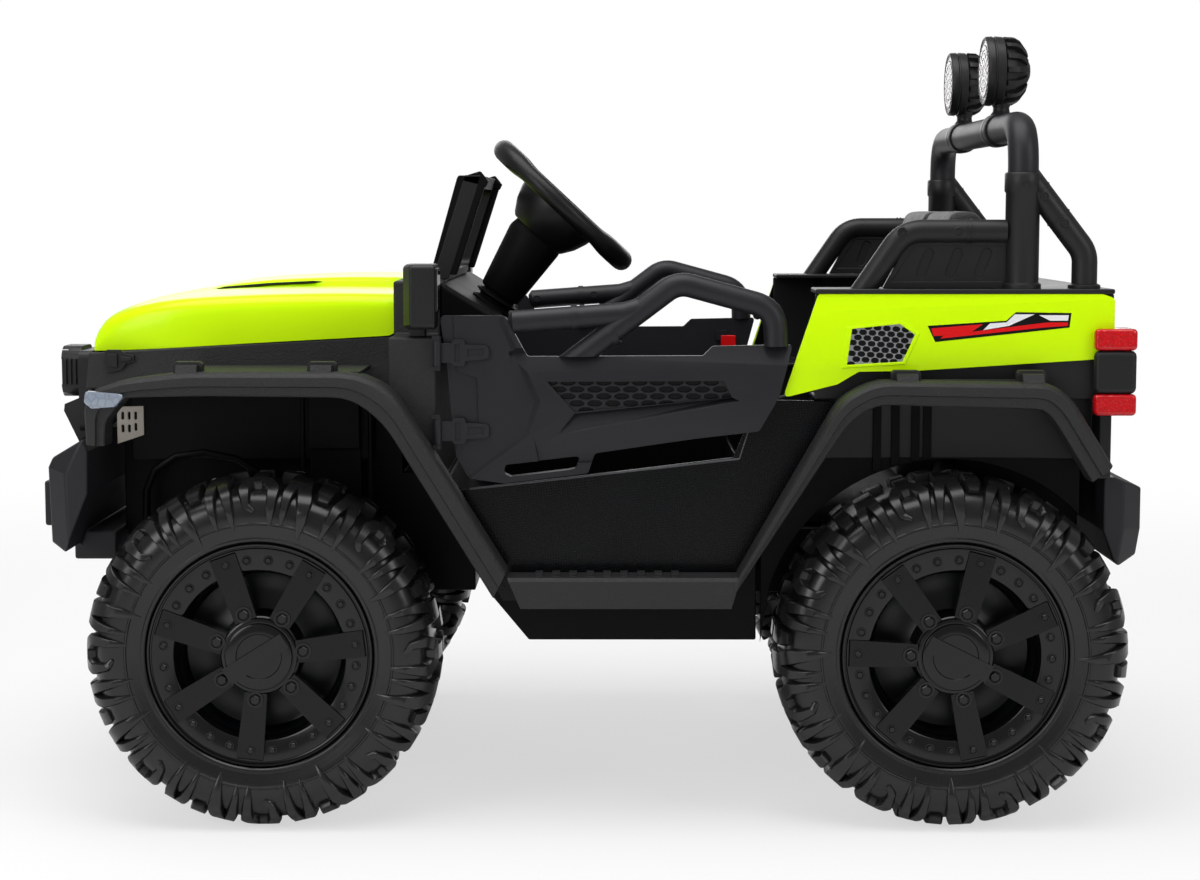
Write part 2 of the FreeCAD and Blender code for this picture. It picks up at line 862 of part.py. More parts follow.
def make_cabin_tub():
    rear = f"({pillar} + door_gap * 8)"
    inner = f"({cabin_half} - skin)"
    outside = [
        (rear, floor_height),
        (f"{cowl_back} - toe_foot", floor_height),
        (f"{cowl_back} - toe_reach", f"{floor_height} + toe_height"),
        (cowl_back, sill_height),
        (rear, sill_height),
    ]
    tub = across("cabin_tub", outside, cabin_half)
    inside = [
        (f"{rear} + skin", f"{floor_height} + skin"),
        (f"{cowl_back} - toe_foot - skin / 2", f"{floor_height} + skin"),
        (f"{cowl_back} - toe_reach - skin", f"{floor_height} + toe_height + skin / 2"),
        (f"{cowl_back} - skin", f"{sill_height} + skin / 2"),
        (f"{cowl_back} - skin", f"{sill_height} + overrun"),
        (f"{rear} + skin", f"{sill_height} + overrun"),
    ]
    extrude(tub, "side", inside, f"-{inner}", f"2 * {inner}", cutting=True)
    node("cabin_tub", tub)


def make_front_chassis():
    # the back edge keeps one wall's thickness in front of the tub's toe board
    toe_share = 0.62
    start = f"({cowl_back} - toe_reach * {toe_share} + skin)"
    toe_rise = f"({sill_height} - {floor_height} - toe_height)"
    points = [
        (start, nose_bottom),
        (f"{front_axle} + 6 * beam_radius", nose_bottom),
        (f"{bumper_back} - 9 * skin", f"{nose_bottom} + 4 * skin"),
        (f"{bumper_back} - 3 * skin", f"{nose_bottom} + 16 * skin"),
        (f"{bumper_back} - 3 * skin", arch_height),
        (cowl_front, arch_height),
        (cowl_front, sill_height),
        (cowl_back, sill_height),
        (start, f"{sill_height} - {toe_rise} * {toe_share}"),
    ]
    body = across("front_chassis", points, nose_half)
    upper = rectangle(
        f"{cowl_front} + 7 * skin", f"{bonnet_front} - 8 * skin",
        f"{arch_height} - wheel_radius * 0.44", arch_height,
    )
    fender_half = f"({bonnet_half} - fender_inset)"
    extrude(body, "side", upper, f"-{fender_half}", f"2 * {fender_half}")
    node("front_chassis", body)


def make_rear_chassis():
    front = f"({pillar} + door_gap * 8)"
    length = f"({front} - ({rear_face}) - 3 * skin)"
    start = f"{rear_face} + 3 * skin"
    seat_back = f"({pillar} + door_gap * 2 - seat_length)"
    points = [
        (start, f"{rear_bottom} + 5 * skin"),
        (f"{start} + 6 * skin", rear_bottom),
        (f"{start} + {length}", rear_bottom),
        (f"{start} + {length}", seat_height),
        (f"{seat_back} - skin / 2", seat_height),
        (f"{seat_back} - 6 * skin", f"{arch_height} - skin"),
        (start, f"{arch_height} - skin"),
    ]
    body = across("rear_chassis", points, rear_box_half)
    bay = rectangle(
        f"{front} - 6 * skin - battery_length", f"{front} - 6 * skin",
        "-battery_width / 2 - fit_gap", "battery_width / 2 + fit_gap",
    )
    extrude(body, "plan", bay, rear_bottom, "battery_height + fit_gap", cutting=True)
    node("rear_chassis", body)
    node(
        "battery",
        box(
            "battery_block", f"{front} - 6 * skin - battery_length + fit_gap", "-battery_width / 2",
            rear_bottom,
            "battery_length - 2 * fit_gap", "battery_width", "battery_height",
        ),
    )


def make_cowl():
    shares = [(0, 0), (0.2, 0), (1, 0.42), (1, 1), (0, 1)]
    body = across("cowl", in_box(shares, cowl_back, sill_height, "cowl_depth", "cowl_height"), body_half)
    shoulder = rectangle(cowl_back, cowl_front, cowl_top, f"{cowl_top} + bonnet_side + 2 * skin")
    extrude(body, "side", shoulder, f"-{shoulder_half}", f"2 * {shoulder_half}")
    node("cowl", body)


def make_dashboard():
    shares = [(1, 0), (1, 1), (0, 0.55), (0, 0.2), (0.3, 0)]
    points = in_box(
        shares, f"{cowl_back} - cowl_depth * 1.3", f"{cowl_top} - 7 * skin", "cowl_depth * 1.3",
        "bonnet_side + 9 * skin",
    )
    node("dashboard", across("dashboard", points, shoulder_half))


# Outer panels


def make_front_shell():
    """Black sides and nose under the bonnet."""
    low = arch_height
    rear_high = "(wheel_radius + bonnet_edge_lift)"
    front_high = f"({rear_high} - bonnet_edge_drop)"
    outline = [
        (cowl_front, low), (f"{bonnet_front} + skin", low),
        (f"{bonnet_front}", front_high), (cowl_front, rear_high),
    ]
    body = across("front_shell", outline, bonnet_half)
    inner = rectangle(
        f"{cowl_front} + skin", f"{bonnet_front} - skin", f"-({bonnet_half} - skin)", f"{bonnet_half} - skin"
    )
    extrude(body, "plan", inner, f"{low} - overrun", "bonnet_edge_lift", cutting=True)
    node("front_shell", body)


def make_bonnet():
    body = new_body("bonnet")
    rear_low = "(wheel_radius + bonnet_edge_lift + fit_gap)"
    stations = [
        # shares of the length from the rear, the narrowing, the edge's drop and the height
        (0.0, 0.0, 0.0, 1.0),
        (0.7, 0.1, 0.7, 1.08),
        (0.9, 0.45, 0.9, 0.99),
        (0.97, 0.75, 0.97, 0.85),
        (1.0, 1.0, 1.0, 0.6),
    ]
    sketches = []
    for along, narrowing, drop, rise in stations:
        half = f"({bonnet_half} + 2 * fit_gap - nose_narrowing * {narrowing})"
        low = f"({rear_low} - bonnet_edge_drop * {drop})"
        high = f"({low} + bonnet_side * {rise})"
        points = [
            (f"-{half}", low),
            (half, low),
            (half, f"{high} - bonnet_corner"),
            (f"{half} - bonnet_corner", high),
            (f"-{half} + bonnet_corner", high),
            (f"-{half}", f"{high} - bonnet_corner"),
        ]
        sketches.append(
            draw(new_sketch(body, "front", f"{cowl_front} + fit_gap + bonnet_length * {along}"), points)
        )
    loft = body.newObject("PartDesign::AdditiveLoft", "skin")
    loft.Profile = sketches[0]
    loft.Sections = sketches[1:]
    loft.Ruled = True
    body.Tip = loft
    scoop_shares = [(0, 0), (1, 0), (1, 0.1), (0.85, 0.85), (0.7, 1), (0, 1)]
    low = "(wheel_radius + bonnet_edge_lift + bonnet_side / 2)"
    points = in_box(
        scoop_shares, f"{cowl_front} + fit_gap", low, "bonnet_length * 0.75", "bonnet_side / 2 + scoop_rise"
    )
    extrude(body, "side", points, "-scoop_half_width", "2 * scoop_half_width")
    node("bonnet", body)


def make_flares():
    inner = "overall_width / 2 - flare_lip - flare_setback"
    step_high = f"({step_bottom} + step_height)"
    front = [
        (f"{front_axle} + arch_half_length * 1.13", f"{arch_height} - flare_height * 1.65"),
        (f"{front_axle} + arch_half_length * 1.14", f"{arch_height} - flare_height * 0.3"),
        (f"{front_axle} + arch_half_length * 0.97", f"{arch_height} + flare_height * 0.6"),
        (f"{front_axle} + arch_half_length * 0.7", flare_top),
        (f"{front_axle} - arch_half_length * 0.7", flare_top),
        (f"{front_axle} - arch_half_length * 0.89", f"{arch_height} + flare_height / 2"),
        (f"{front_axle} - arch_half_length * 1.66", step_high),
        (f"{front_axle} - arch_half_length * 1.55", f"{step_bottom} + step_height / 3"),
        (f"{front_axle} - arch_half_length * 0.86", f"{arch_height} - flare_height"),
        (f"{front_axle} - arch_half_length * 0.67", arch_height),
        (f"{front_axle} + arch_half_length * 0.8", arch_height),
        (f"{front_axle} + arch_half_length * 0.99", f"{arch_height} - flare_height * 1.7"),
    ]
    lip = "flare_lip"
    face = f"({inner} + {lip})"
    body = block("flare_front", "side", front, inner, lip)
    bevel(
        body, "flare_bevel", lambda at,
        way: near(at.y, face) and at.z > size(f"{arch_height} + flare_height / 3"),
    )
    lower_band = [
        (f"{front_axle} + arch_half_length * 0.79", f"{arch_height} + flare_height * 0.42"),
        (f"{front_axle} - arch_half_length * 0.68", f"{arch_height} + flare_height * 0.42"),
        (f"{front_axle} - arch_half_length * 0.875", f"{arch_height} - flare_height * 0.3"),
        (f"{front_axle} - arch_half_length * 1.6", f"{step_bottom} + step_height * 0.7"),
        (f"{front_axle} - arch_half_length * 1.45", f"{step_bottom}"),
        (f"{front_axle} - arch_half_length * 0.6", f"{arch_height} - flare_height * 2"),
        (f"{front_axle} + arch_half_length * 0.79", f"{arch_height} - flare_height * 2"),
    ]
    extrude(body, "side", lower_band, f"{face} - flare_step", "flare_step + overrun", cutting=True)
    roof = rectangle(
        f"{front_axle} - arch_half_length * 0.7", f"{front_axle} + arch_half_length * 0.7",
        f"{bonnet_half} + fit_gap", inner,
    )
    extrude(body, "plan", roof, f"{flare_top} - skin", "skin")
    node_both("flares_front", body)
    rear = [
        (f"{rear_axle} + arch_half_length * 1.44", step_high),
        (f"{rear_axle} + arch_half_length * 0.75", f"{arch_height} + flare_height * 0.1"),
        (f"{rear_axle} + arch_half_length * 0.52", f"{arch_height} + flare_height * 0.6"),
        (f"{rear_axle} - arch_half_length * 0.6", f"{arch_height} + flare_height * 0.6"),
        (f"{rear_axle} - arch_half_length * 0.73", f"{arch_height} + flare_height * 0.1"),
        (f"{rear_axle} - arch_half_length * 1.03", f"{arch_height} - flare_height * 2.5"),
        (f"{rear_axle} - arch_half_length * 0.9", f"{arch_height} - flare_height * 3"),
        (f"{rear_axle} - arch_half_length * 0.57", f"{arch_height} - flare_height * 0.4"),
        (f"{rear_axle} + arch_half_length * 0.59", f"{arch_height} - flare_height * 0.25"),
        (f"{rear_axle} + arch_half_length * 0.73", f"{arch_height} - flare_height * 0.75"),
        (f"{rear_axle} + arch_half_length * 1.5", step_bottom),
    ]
    tail = block("flare_rear", "side", rear, inner, lip)
    bevel(
        tail, "flare_bevel", lambda at,
        way: near(at.y, face) and at.z > size(f"{arch_height} + flare_height / 8"),
    )
    lower_band = [
        (f"{rear_axle} + arch_half_length * 1.47", f"{step_bottom} + step_height * 0.3"),
        (f"{rear_axle} + arch_half_length * 0.74", f"{arch_height} - flare_height * 0.3"),
        (f"{rear_axle} + arch_half_length * 0.56", f"{arch_height} + flare_height * 0.15"),
        (f"{rear_axle} - arch_half_length * 0.58", f"{arch_height} + flare_height * 0.08"),
        (f"{rear_axle} - arch_half_length * 0.95", f"{arch_height} - flare_height * 2.7"),
        (f"{rear_axle} - arch_half_length * 0.7", f"{arch_height} - flare_height * 3"),
        (f"{rear_axle} + arch_half_length * 0.7", f"{arch_height} - flare_height * 2"),
        (f"{rear_axle} + arch_half_length * 1.3", step_bottom),
    ]
    extrude(tail, "side", lower_band, f"{face} - flare_step", "flare_step + overrun", cutting=True)
    roof = rectangle(
        f"{rear_axle} - arch_half_length * 0.57", f"{rear_axle} + arch_half_length * 0.5",
        f"{body_half} + fit_gap", inner,
    )
    extrude(tail, "plan", roof, f"{arch_height} + flare_height * 0.6 - skin", "skin")
    node_both("flares_rear", tail)


def make_steps():
    """Running board between the wheels, with a row of grip bumps on its top."""
    step_high = f"({step_bottom} + step_height)"
    points = [
        (f"{front_axle} - arch_half_length * 1.66", step_high),
        (f"{rear_axle} + arch_half_length * 1.44", step_high),
        (f"{rear_axle} + arch_half_length * 1.5", step_bottom),
        (f"{front_axle} - arch_half_length * 1.75", step_bottom),
    ]
    body = block("step", "side", points, body_half, "flare_reach - flare_setback")
    face = f"({body_half} + flare_reach - flare_setback)"
    bevel(body, "edge_bevel", lambda at, way: near(at.y, face) and near(at.z, step_high))
    first = f"(({front_axle} + {rear_axle}) / 2 - (tread_bumps - 1) / 2 * bump_pitch)"
    bump = extrude(
        body, "plan",
        rectangle(
            f"{first} - bump_length / 2", f"{first} + bump_length / 2", f"{body_half} + skin",
            f"{body_half} + skin + bump_width",
        ),
        step_high, "bump_height",
    )
    doc.recompute()
    bumps = body.newObject("PartDesign::LinearPattern", "bumps")
    bumps.Originals = [bump]
    bumps.Direction = (bump.Profile[0], ["H_Axis"])
    bind(bumps, Length="(tread_bumps - 1) * bump_pitch", Occurrences="tread_bumps")
    body.Tip = bumps
    node_both("steps", body)


def make_side_panels():
    """Lower side panel under the door."""
    start = f"({rear_axle} + arch_half_length * 0.74)"
    length = f"({cowl_back} - {start})"
    height = f"({sill_height} - {step_bottom})"
    shares = [
        (0.84, 0), (0.28, 0), (0, 1.55), (0, 1.78), (0.16, 1.79), (0.22, 1.68),
        (0.27, 1.28), (0.92, 1), (0.99, 0.98),
    ]
    points = in_box(shares, start, step_bottom, length, height)
    node_both("side_panels", block("side_panel", "side", points, cabin_half, "skin"))


def make_rear_shell():
    low = arch_height
    start = rear_face
    length = f"({pillar} - ({rear_face}))"
    outer = [
        (start, f"{low} - flare_height * 3"), (f"{start} + 3 * skin - fit_gap", f"{low} - flare_height * 3"),
        (f"{start} + 3 * skin - fit_gap", f"{low} - skin"), (f"{start} + {length} * 0.93", f"{low} - skin"),
        (f"{start} + {length} * 0.93", body_top), (start, body_top),
    ]
    wall = f"({body_half} - skin)"
    body = across("rear_shell", outer, wall)
    inner = rectangle(f"{start} + skin", f"{start} + {length} + overrun", low, f"{body_top} + overrun")
    extrude(body, "side", inner, f"-({wall} - skin)", f"2 * ({wall} - skin)", cutting=True)
    well = rectangle(
        f"{start} + {length} * 0.42", f"{start} + {length} + overrun",
        f"-{rear_box_half}", rear_box_half,
    )
    extrude(body, "plan", well, f"{low} - overrun", "2 * overrun", cutting=True)
    # walls over the tyres
    for side in (1, -1):
        liner = rectangle(
            f"{start} + skin", f"{start} + {length} * 0.93",
            f"{side} * {body_half} * 0.86", f"{side} * ({body_half} * 0.86 + skin)",
        )
        extrude(body, "plan", liner, f"{low} - flare_height * 2.4", "flare_height * 2.4 - skin / 2")
    node("rear_shell", body)


def make_quarters():
    """Painted side panels behind the doors."""
    start = f"({rear_face})"
    length = f"({pillar} - {start})"
    height = f"({body_top} - {arch_height})"
    shares = [
        (0, 0.35), (0.06, 0.35), (0.63, 0.22), (0.8, 0.21), (0.865, 0.1), (1.03, -0.03), (0.918, 1), (0, 1),
    ]
    points = in_box(shares, start, arch_height, length, height)
    body = block("quarter", "side", points, f"{body_half} - skin", "skin")
    vent_shares = [(0.79, 0.62), (0.62, 0.69), (0.58, 0.6), (0.63, 0.32), (0.8, 0.29)]
    extrude(
        body, "side", in_box(vent_shares, start, arch_height, length, height),
        f"{body_half} - vent_depth", "vent_depth + overrun", cutting=True,
    )
    node_both("quarter_panels", body)


def make_tailgate():
    points = rectangle(
        f"-{body_half} + tail_lamp_width",
        f"{body_half} - tail_lamp_width", f"{arch_height} - flare_height", body_top, "bonnet_corner",
    )
    body = block("tailgate", "front", points, f"{rear_face} - tailgate_thickness", "tailgate_thickness")
    field = rectangle(
        f"-{body_half} + tail_lamp_width + tailgate_border",
        f"{body_half} - tail_lamp_width - tailgate_border",
        f"{arch_height} + skin", f"{body_top} - tailgate_border / 2", "bonnet_corner / 2",
    )
    extrude(
        body, "front", field, f"{rear_face} - tailgate_thickness - overrun",
        "tailgate_step + overrun", cutting=True,
    )
    node("tailgate", body)


def make_rear_deck():
    length = f"({pillar} - ({rear_face}))"
    opening = f"({body_half} - deck_arm_width)"
    points = [
        (rear_face, f"-{body_half}"),
        (f"{rear_face} + {length} * 0.93", f"-{body_half}"),
        (f"{rear_face} + {length} * 0.93", f"-{opening}"),
        (f"{rear_face} + {length} * 0.28", f"-{opening}"),
        (f"{rear_face} + {length} * 0.28", opening),
        (f"{rear_face} + {length} * 0.93", opening),
        (f"{rear_face} + {length} * 0.93", body_half),
        (rear_face, body_half),
    ]
    node("rear_deck", block("rear_deck", "plan", points, body_top, "deck_thickness"))


def make_doors():
    length = f"({door_front} - {pillar})"
    low = "(wheel_radius + door_lift)"
    inner = f"({body_half} + door_proud - door_thickness)"
    shares = [
        (
            1, 1), (0.81, 1), (0.75, 0.755), (0.255, 0.76), (0.225, 0.82), (0, 0.83), (0.04,
            0.5), (0.095, 0.31,
        ),
        (0.28, 0.265), (0.56, 0.18), (0.58, 0.06), (0.82, 0), (0.92, 0.03), (0.96, 0.18), (0.98, 0.73),
    ]
    door = block("door", "side", in_box(shares, pillar, low, length, "door_height"), inner, "door_thickness")
    hole_shares = [(0.815, 0.115), (0.6, 0.165), (0.61, 0.095), (0.82, 0.04)]
    extrude(
        door, "side", in_box(hole_shares, pillar, low, length, "door_height"),
        f"{inner} - overrun", "door_thickness + 2 * overrun", cutting=True,
    )
    mesh_shares = [(0.7, 0.61), (0.195, 0.615), (0.17, 0.51), (0.62, 0.42)]
    extrude(
        door, "side", in_box(mesh_shares, pillar, low, length, "door_height"),
        f"{body_half} + door_proud - mesh_depth", "mesh_depth + overrun", cutting=True,
    )
    face = f"({body_half} + door_proud)"
    front_shares = [(0.86, 1.1), (0.75, 0.36), (0.85, 0.22), (0.86, -0.1), (1.1, -0.1), (1.1, 1.1)]
    extrude(
        door, "side", in_box(front_shares, pillar, low, length, "door_height"),
        f"{face} - door_step", "door_step + overrun", cutting=True,
    )
    facet_shares = [(0.62, 0.42), (0.17, 0.51), (0.665, 0.3)]
    extrude(
        door, "side", in_box(facet_shares, pillar, low, length, "door_height"),
        f"{face} - door_step", "door_step + overrun", cutting=True,
    )
    edge_low = f"({low} + door_height * 0.755 - door_bevel_height)"
    slope = [
        (f"{face}", edge_low),
        (f"{face} + overrun", edge_low),
        (f"{face} + overrun", f"{edge_low} + 2 * door_bevel_height"),
        (f"{face} - 2 * door_bevel", f"{edge_low} + 2 * door_bevel_height"),
    ]
    extrude(door, "front", slope, f"{pillar} - overrun", f"overrun + {length} * 0.77", cutting=True)
    middle = f"({inner} + door_thickness / 2)"
    main_shares = [(0.86, 0.95), (0.47, 1.01, 1), (0.325, 1.2, 1), (0.05, 1.04, 1), (0.045, 0.75)]
    stay_shares = [(0.62, 0.74), (0.38, 1.08)]
    main = tube(
        "rail_main", "side", middle,
        in_box(main_shares, pillar, low, length, "door_height", "door_rail_bend"), "door_rail_radius",
    )
    stay = tube(
        "rail_stay", "side", middle, in_box(stay_shares, pillar, low, length, "door_height"),
        "door_rail_radius",
    )
    latch = box(
        "latch", f"{pillar} + {length} * 0.1", f"{inner} - latch_thickness", f"{low} + door_height * 0.66",
        "latch_length", "latch_thickness", "latch_height",
    )
    leaves = []
    for name, level in (("low", "hinge_low"), ("high", "hinge_high")):
        height = f"wheel_radius + {level}"
        leaf_shares = [(1, 0), (0.72, 0), (0.6, 0.2), (0, 0.26), (0, 0.8), (0.6, 0.86), (0.72, 1), (1, 1)]
        outline = in_box(leaf_shares, f"{hinge_place} - hinge_reach", height, "hinge_reach", "hinge_height")
        leaves.append(block("leaf_" + name, "side", outline, f"{face} - door_step", "hinge_leaf"))
        leaves.append(
            bar(
                "knuckle_" + name, "z", hinge_place, hinge_offset, height, "hinge_radius",
                "hinge_height", "bar_sides",
            )
        )
    hole = bar(
        "pin_hole", "z", hinge_place, hinge_offset, "wheel_radius", "hinge_pin_radius + axle_play",
        "door_lift + door_height",
    )
    solid = fuse("door_solid", door, main, stay, latch, *leaves)
    node_pair("door", cut("door_bored", solid, hole))


def make_door_hinges():
    """Ears on the cowl with the pins that the doors turn on."""
    pieces = []
    for name, level in (("low", "hinge_low"), ("high", "hinge_high")):
        bottom = f"wheel_radius + {level} - fit_gap - hinge_ear"
        pieces.append(
            bar(
                "hinge_pin_" + name, "z", hinge_place, hinge_offset, bottom, "hinge_pin_radius",
                "hinge_height + 2 * hinge_ear + 2 * fit_gap",
            )
        )
        for end, height in (("under", bottom), ("over", f"wheel_radius + {level} + hinge_height + fit_gap")):
            pieces.append(
                bar(
                    f"ear_{end}_{name}", "z", hinge_place, hinge_offset, height, "hinge_radius",
                    "hinge_ear", "bar_sides",
                )
            )
            pieces.append(
                box(
                    f"ear_foot_{end}_{name}", hinge_place, body_half, height,
                    f"{cowl_back} - {hinge_place} + hinge_foot",
                    f"{hinge_offset} - {body_half} + hinge_radius", "hinge_ear",
                )
            )
    left = fuse("door_hinge_ears", *pieces)
    node_both("door_hinges", left)


# Front end


def make_grille():
    """Nose plate with slots, a square pod round each headlamp and an open guard below them."""
    plane = f"({bonnet_front} + skin + fit_gap)"
    front = f"({plane} + grille_thickness)"
    high = "(wheel_radius + bonnet_edge_lift - bonnet_edge_drop)"
    points = rectangle(
        f"-{bonnet_nose_half}", bonnet_nose_half, f"{high} - grille_height", high, "bonnet_corner / 2"
    )
    body = block("grille", "front", points, plane, "grille_thickness")
    pitch = "(2 * slot_height)"
    for index in range(int(size("slot_count"))):
        top = f"({high} - {pitch} * {index} - slot_height)"
        slot = rectangle("-slot_half_width", "slot_half_width", f"{top} - slot_height", top)
        extrude(body, "front", slot, f"{plane} - overrun", "grille_thickness + 2 * overrun", cutting=True)
    lamp_offset = f"({bonnet_nose_half} - headlamp_inset)"
    pod_top = f"({high} + skin)"
    lamp_height = f"({pod_top} - pod_height / 2)"
    for side in ("", "-"):
        centre = f"({side}{lamp_offset})"
        pod = rectangle(
            f"{centre} - pod_width / 2", f"{centre} + pod_width / 2",
            f"{pod_top} - pod_height", pod_top, "bonnet_corner"
        )
        extrude(body, "front", pod, front, "pod_depth")
        well = rectangle(
            f"{centre} - headlamp_radius - pod_rib", f"{centre} + headlamp_radius + pod_rib",
            f"{lamp_height} - headlamp_radius - fit_gap", f"{lamp_height} + headlamp_radius + fit_gap",
        )
        extrude(
            body, "front", well, f"{front} + pod_depth - headlamp_depth", "headlamp_depth + overrun",
            cutting=True,
        )
        for index in range(int(size("pod_ribs"))):
            start = f"({front} + pod_rib * {2 * index + 1})"
            edge = f"({side}({lamp_offset} + pod_width / 2))"
            groove = rectangle(
                start, f"{start} + pod_rib",
                *sorted((f"{edge} - pod_rib", f"{edge} + pod_rib"), key=size),
            )
            extrude(body, "plan", groove, f"{lamp_height} - pod_height / 4", "pod_height / 2", cutting=True)
    guard_low = f"({pod_top} - pod_height - guard_height)"
    guard_half = f"({bonnet_nose_half} - skin)"
    guard_shares = [(0, 0.4), (0.5, 0.16), (1, 0.75), (0.97, 0.88), (0.45, 1), (0, 1)]
    guard = in_box(guard_shares, plane, guard_low, "guard_depth", "guard_height")
    extrude(body, "side", guard, f"-{guard_half}", f"2 * {guard_half}")
    count = int(size("guard_openings"))
    share = f"(2 * {guard_half} / {count})"
    for index in range(count):
        left = f"(-{guard_half} + {share} * {index} + 2 * skin)"
        opening = rectangle(
            left, f"{left} + {share} - 4 * skin", f"{guard_low} + 3 * skin",
            f"{guard_low} + guard_height - 3 * skin",
        )
        extrude(body, "front", opening, f"{plane} + 2 * skin", "guard_depth + overrun", cutting=True)
    node("grille", body)
    lens_shares = [(0, 1), (0.8, 1), (1, 0.8)]
    rows = [(f"headlamp_depth * {rise}", f"headlamp_radius * {reach}") for rise, reach in lens_shares]
    lens = many_sided("headlamp_lens", "bar_sides", rows)
    lens.Placement.Rotation = FreeCAD.Rotation(FreeCAD.Vector(0, 1, 0), 90)
    put(lens, f"{front} + pod_depth - headlamp_depth + fit_gap", lamp_offset, lamp_height)
    node_both("headlamps", lens)


def make_front_bumper():
    back = bumper_back
    low = "(wheel_radius + bumper_lift)"
    shares = [(0.55, 0.05), (0.95, 0.12), (1, 0.75), (0.9, 0.83), (0.1, 1), (0, 0.9), (0, 0.55)]
    body = across(
        "front_bumper", in_box(shares, back, low, "bumper_depth", "bumper_height"),
        f"{body_half} - bumper_inset",
    )
    plate = rectangle(
        f"{back} + bumper_depth * 0.9", front_end,
        f"{low} + bumper_height * 0.2", f"{low} + bumper_height * 0.2 + nose_plate_height",
    )
    extrude(body, "side", plate, f"-({bonnet_nose_half} - skin)", f"2 * ({bonnet_nose_half} - skin)")
    skid = rectangle(
        f"{back} - 3 * skin", f"{back} + bumper_depth * 0.7", f"{low} - skid_height / 2",
        f"{low} + skid_height",
    )
    extrude(body, "side", skid, f"-{bonnet_nose_half}", f"2 * {bonnet_nose_half}")
    half = f"({body_half} - bumper_inset)"
    bevel(
        body, "bumper_bevel",
        lambda at, way: abs(way.z) > abs(way.x) and near(abs(at.y), half)
        and at.x > size(f"{back} + bumper_depth * 0.9"),
    )
    node("front_bumper", body)


def make_indicators():
    shares = [(0, 0.8), (0.25, 0), (0.85, 0), (1, 0.6), (0.8, 1)]
    points = in_box(
        shares, f"{front_axle} + arch_half_length * 0.84", f"{arch_height} - indicator_height * 0.35",
        "indicator_length", "indicator_height",
    )
    node_both(
        "indicator_lamps",
        block("indicator", "side", points, "overall_width / 2 - indicator_thickness", "indicator_thickness"),
    )


def make_windscreen():
    low = f"({cowl_top} + bonnet_side + 2 * skin)"
    back = f"({cowl_back} - skin)"
    outline = [
        (back, low), (f"{back} + screen_post", low),
        (
            f"{back} + screen_post - screen_lean", f"{low} + screen_height"), (f"{back} - screen_lean",
            f"{low} + screen_height",
        ),
    ]
    screen_half = f"({shoulder_half} - screen_inset)"
    body = across("windscreen_frame", outline, screen_half)
    opening = rectangle(
        f"-({screen_half} - screen_post)", f"{screen_half} - screen_post",
        f"{low} + 2 * skin", f"{low} + screen_height - 3 * skin", "bonnet_corner / 2",
    )
    extrude(
        body, "front", opening, f"{back} - screen_lean - overrun",
        "screen_lean + screen_post + 2 * overrun", cutting=True,
    )
    node("windscreen_frame", body)


def make_mirrors():
    low = f"({cowl_top} + 2 * skin)"
    offset = f"({body_half} - mirror_inset)"
    left = f"({offset} - mirror_width / 2)"
    right = f"({offset} + mirror_width / 2)"
    outline = [
        (cowl_back, left),
        (f"{cowl_back} + mirror_depth - mirror_bevel", left),
        (f"{cowl_back} + mirror_depth", f"{left} + mirror_bevel"),
        (f"{cowl_back} + mirror_depth", f"{right} - 2 * mirror_bevel"),
        (f"{cowl_back} + mirror_depth - mirror_bevel", right),
        (cowl_back, right),
    ]
    head = block("mirror_head", "plan", outline, low, "mirror_height")
    bevel(head, "edge_bevel", lambda at, way: near(way.z, "0") and at.x > size(f"{cowl_back} + skin"))
    arm = box(
        "mirror_arm", f"{cowl_back} + mirror_depth / 3", f"{offset} - 3 * skin", cowl_top,
        "mirror_depth / 2", "5 * skin", "3 * skin",
    )
    node_both("mirrors", fuse("mirror", head, arm))
    glass = box(
        "glass", f"{cowl_back} - mirror_glass", f"{left} + skin", f"{low} + 4 * skin",
        "mirror_glass", "mirror_width - 2 * skin", "mirror_height - 5 * skin",
    )
    node_both("mirror_glasses", glass)


# Roll bar, lamps and armrests


def make_roll_bar():
    post = bar("post", "z", post_place, post_offset, deck_top, "post_radius", "sleeve_rise", "bar_sides")
    hoop = tube(
        "hoop", "front", post_place,
        [
            (f"-{post_offset}", f"{deck_top} + sleeve_rise / 2"),
            (f"-{post_offset}", f"{deck_top} + hoop_rise", "hoop_bend"),
            (post_offset, f"{deck_top} + hoop_rise", "hoop_bend"),
            (post_offset, f"{deck_top} + sleeve_rise / 2"),
        ],
        "hoop_radius",
    )
    brace = tube(
        "brace", "side", post_offset,
        [
            (post_place, f"{deck_top} + brace_top + post_radius"),
            (f"{post_place} - brace_reach", f"{deck_top} + brace_knee", "armrest_bend"),
            (f"{post_place} - brace_reach", deck_top),
        ],
        "brace_radius",
    )
    collar = bar(
        "collar", "y", post_place, "spot_offset - collar_length / 2", f"{deck_top} + hoop_rise",
        "collar_radius", "collar_length", "bar_sides",
    )
    right = [mirrored(piece.Name + "_r", piece) for piece in (post, brace, collar)]
    node("roll_bar", fuse("roll_bar", hoop, post, brace, collar, *right))


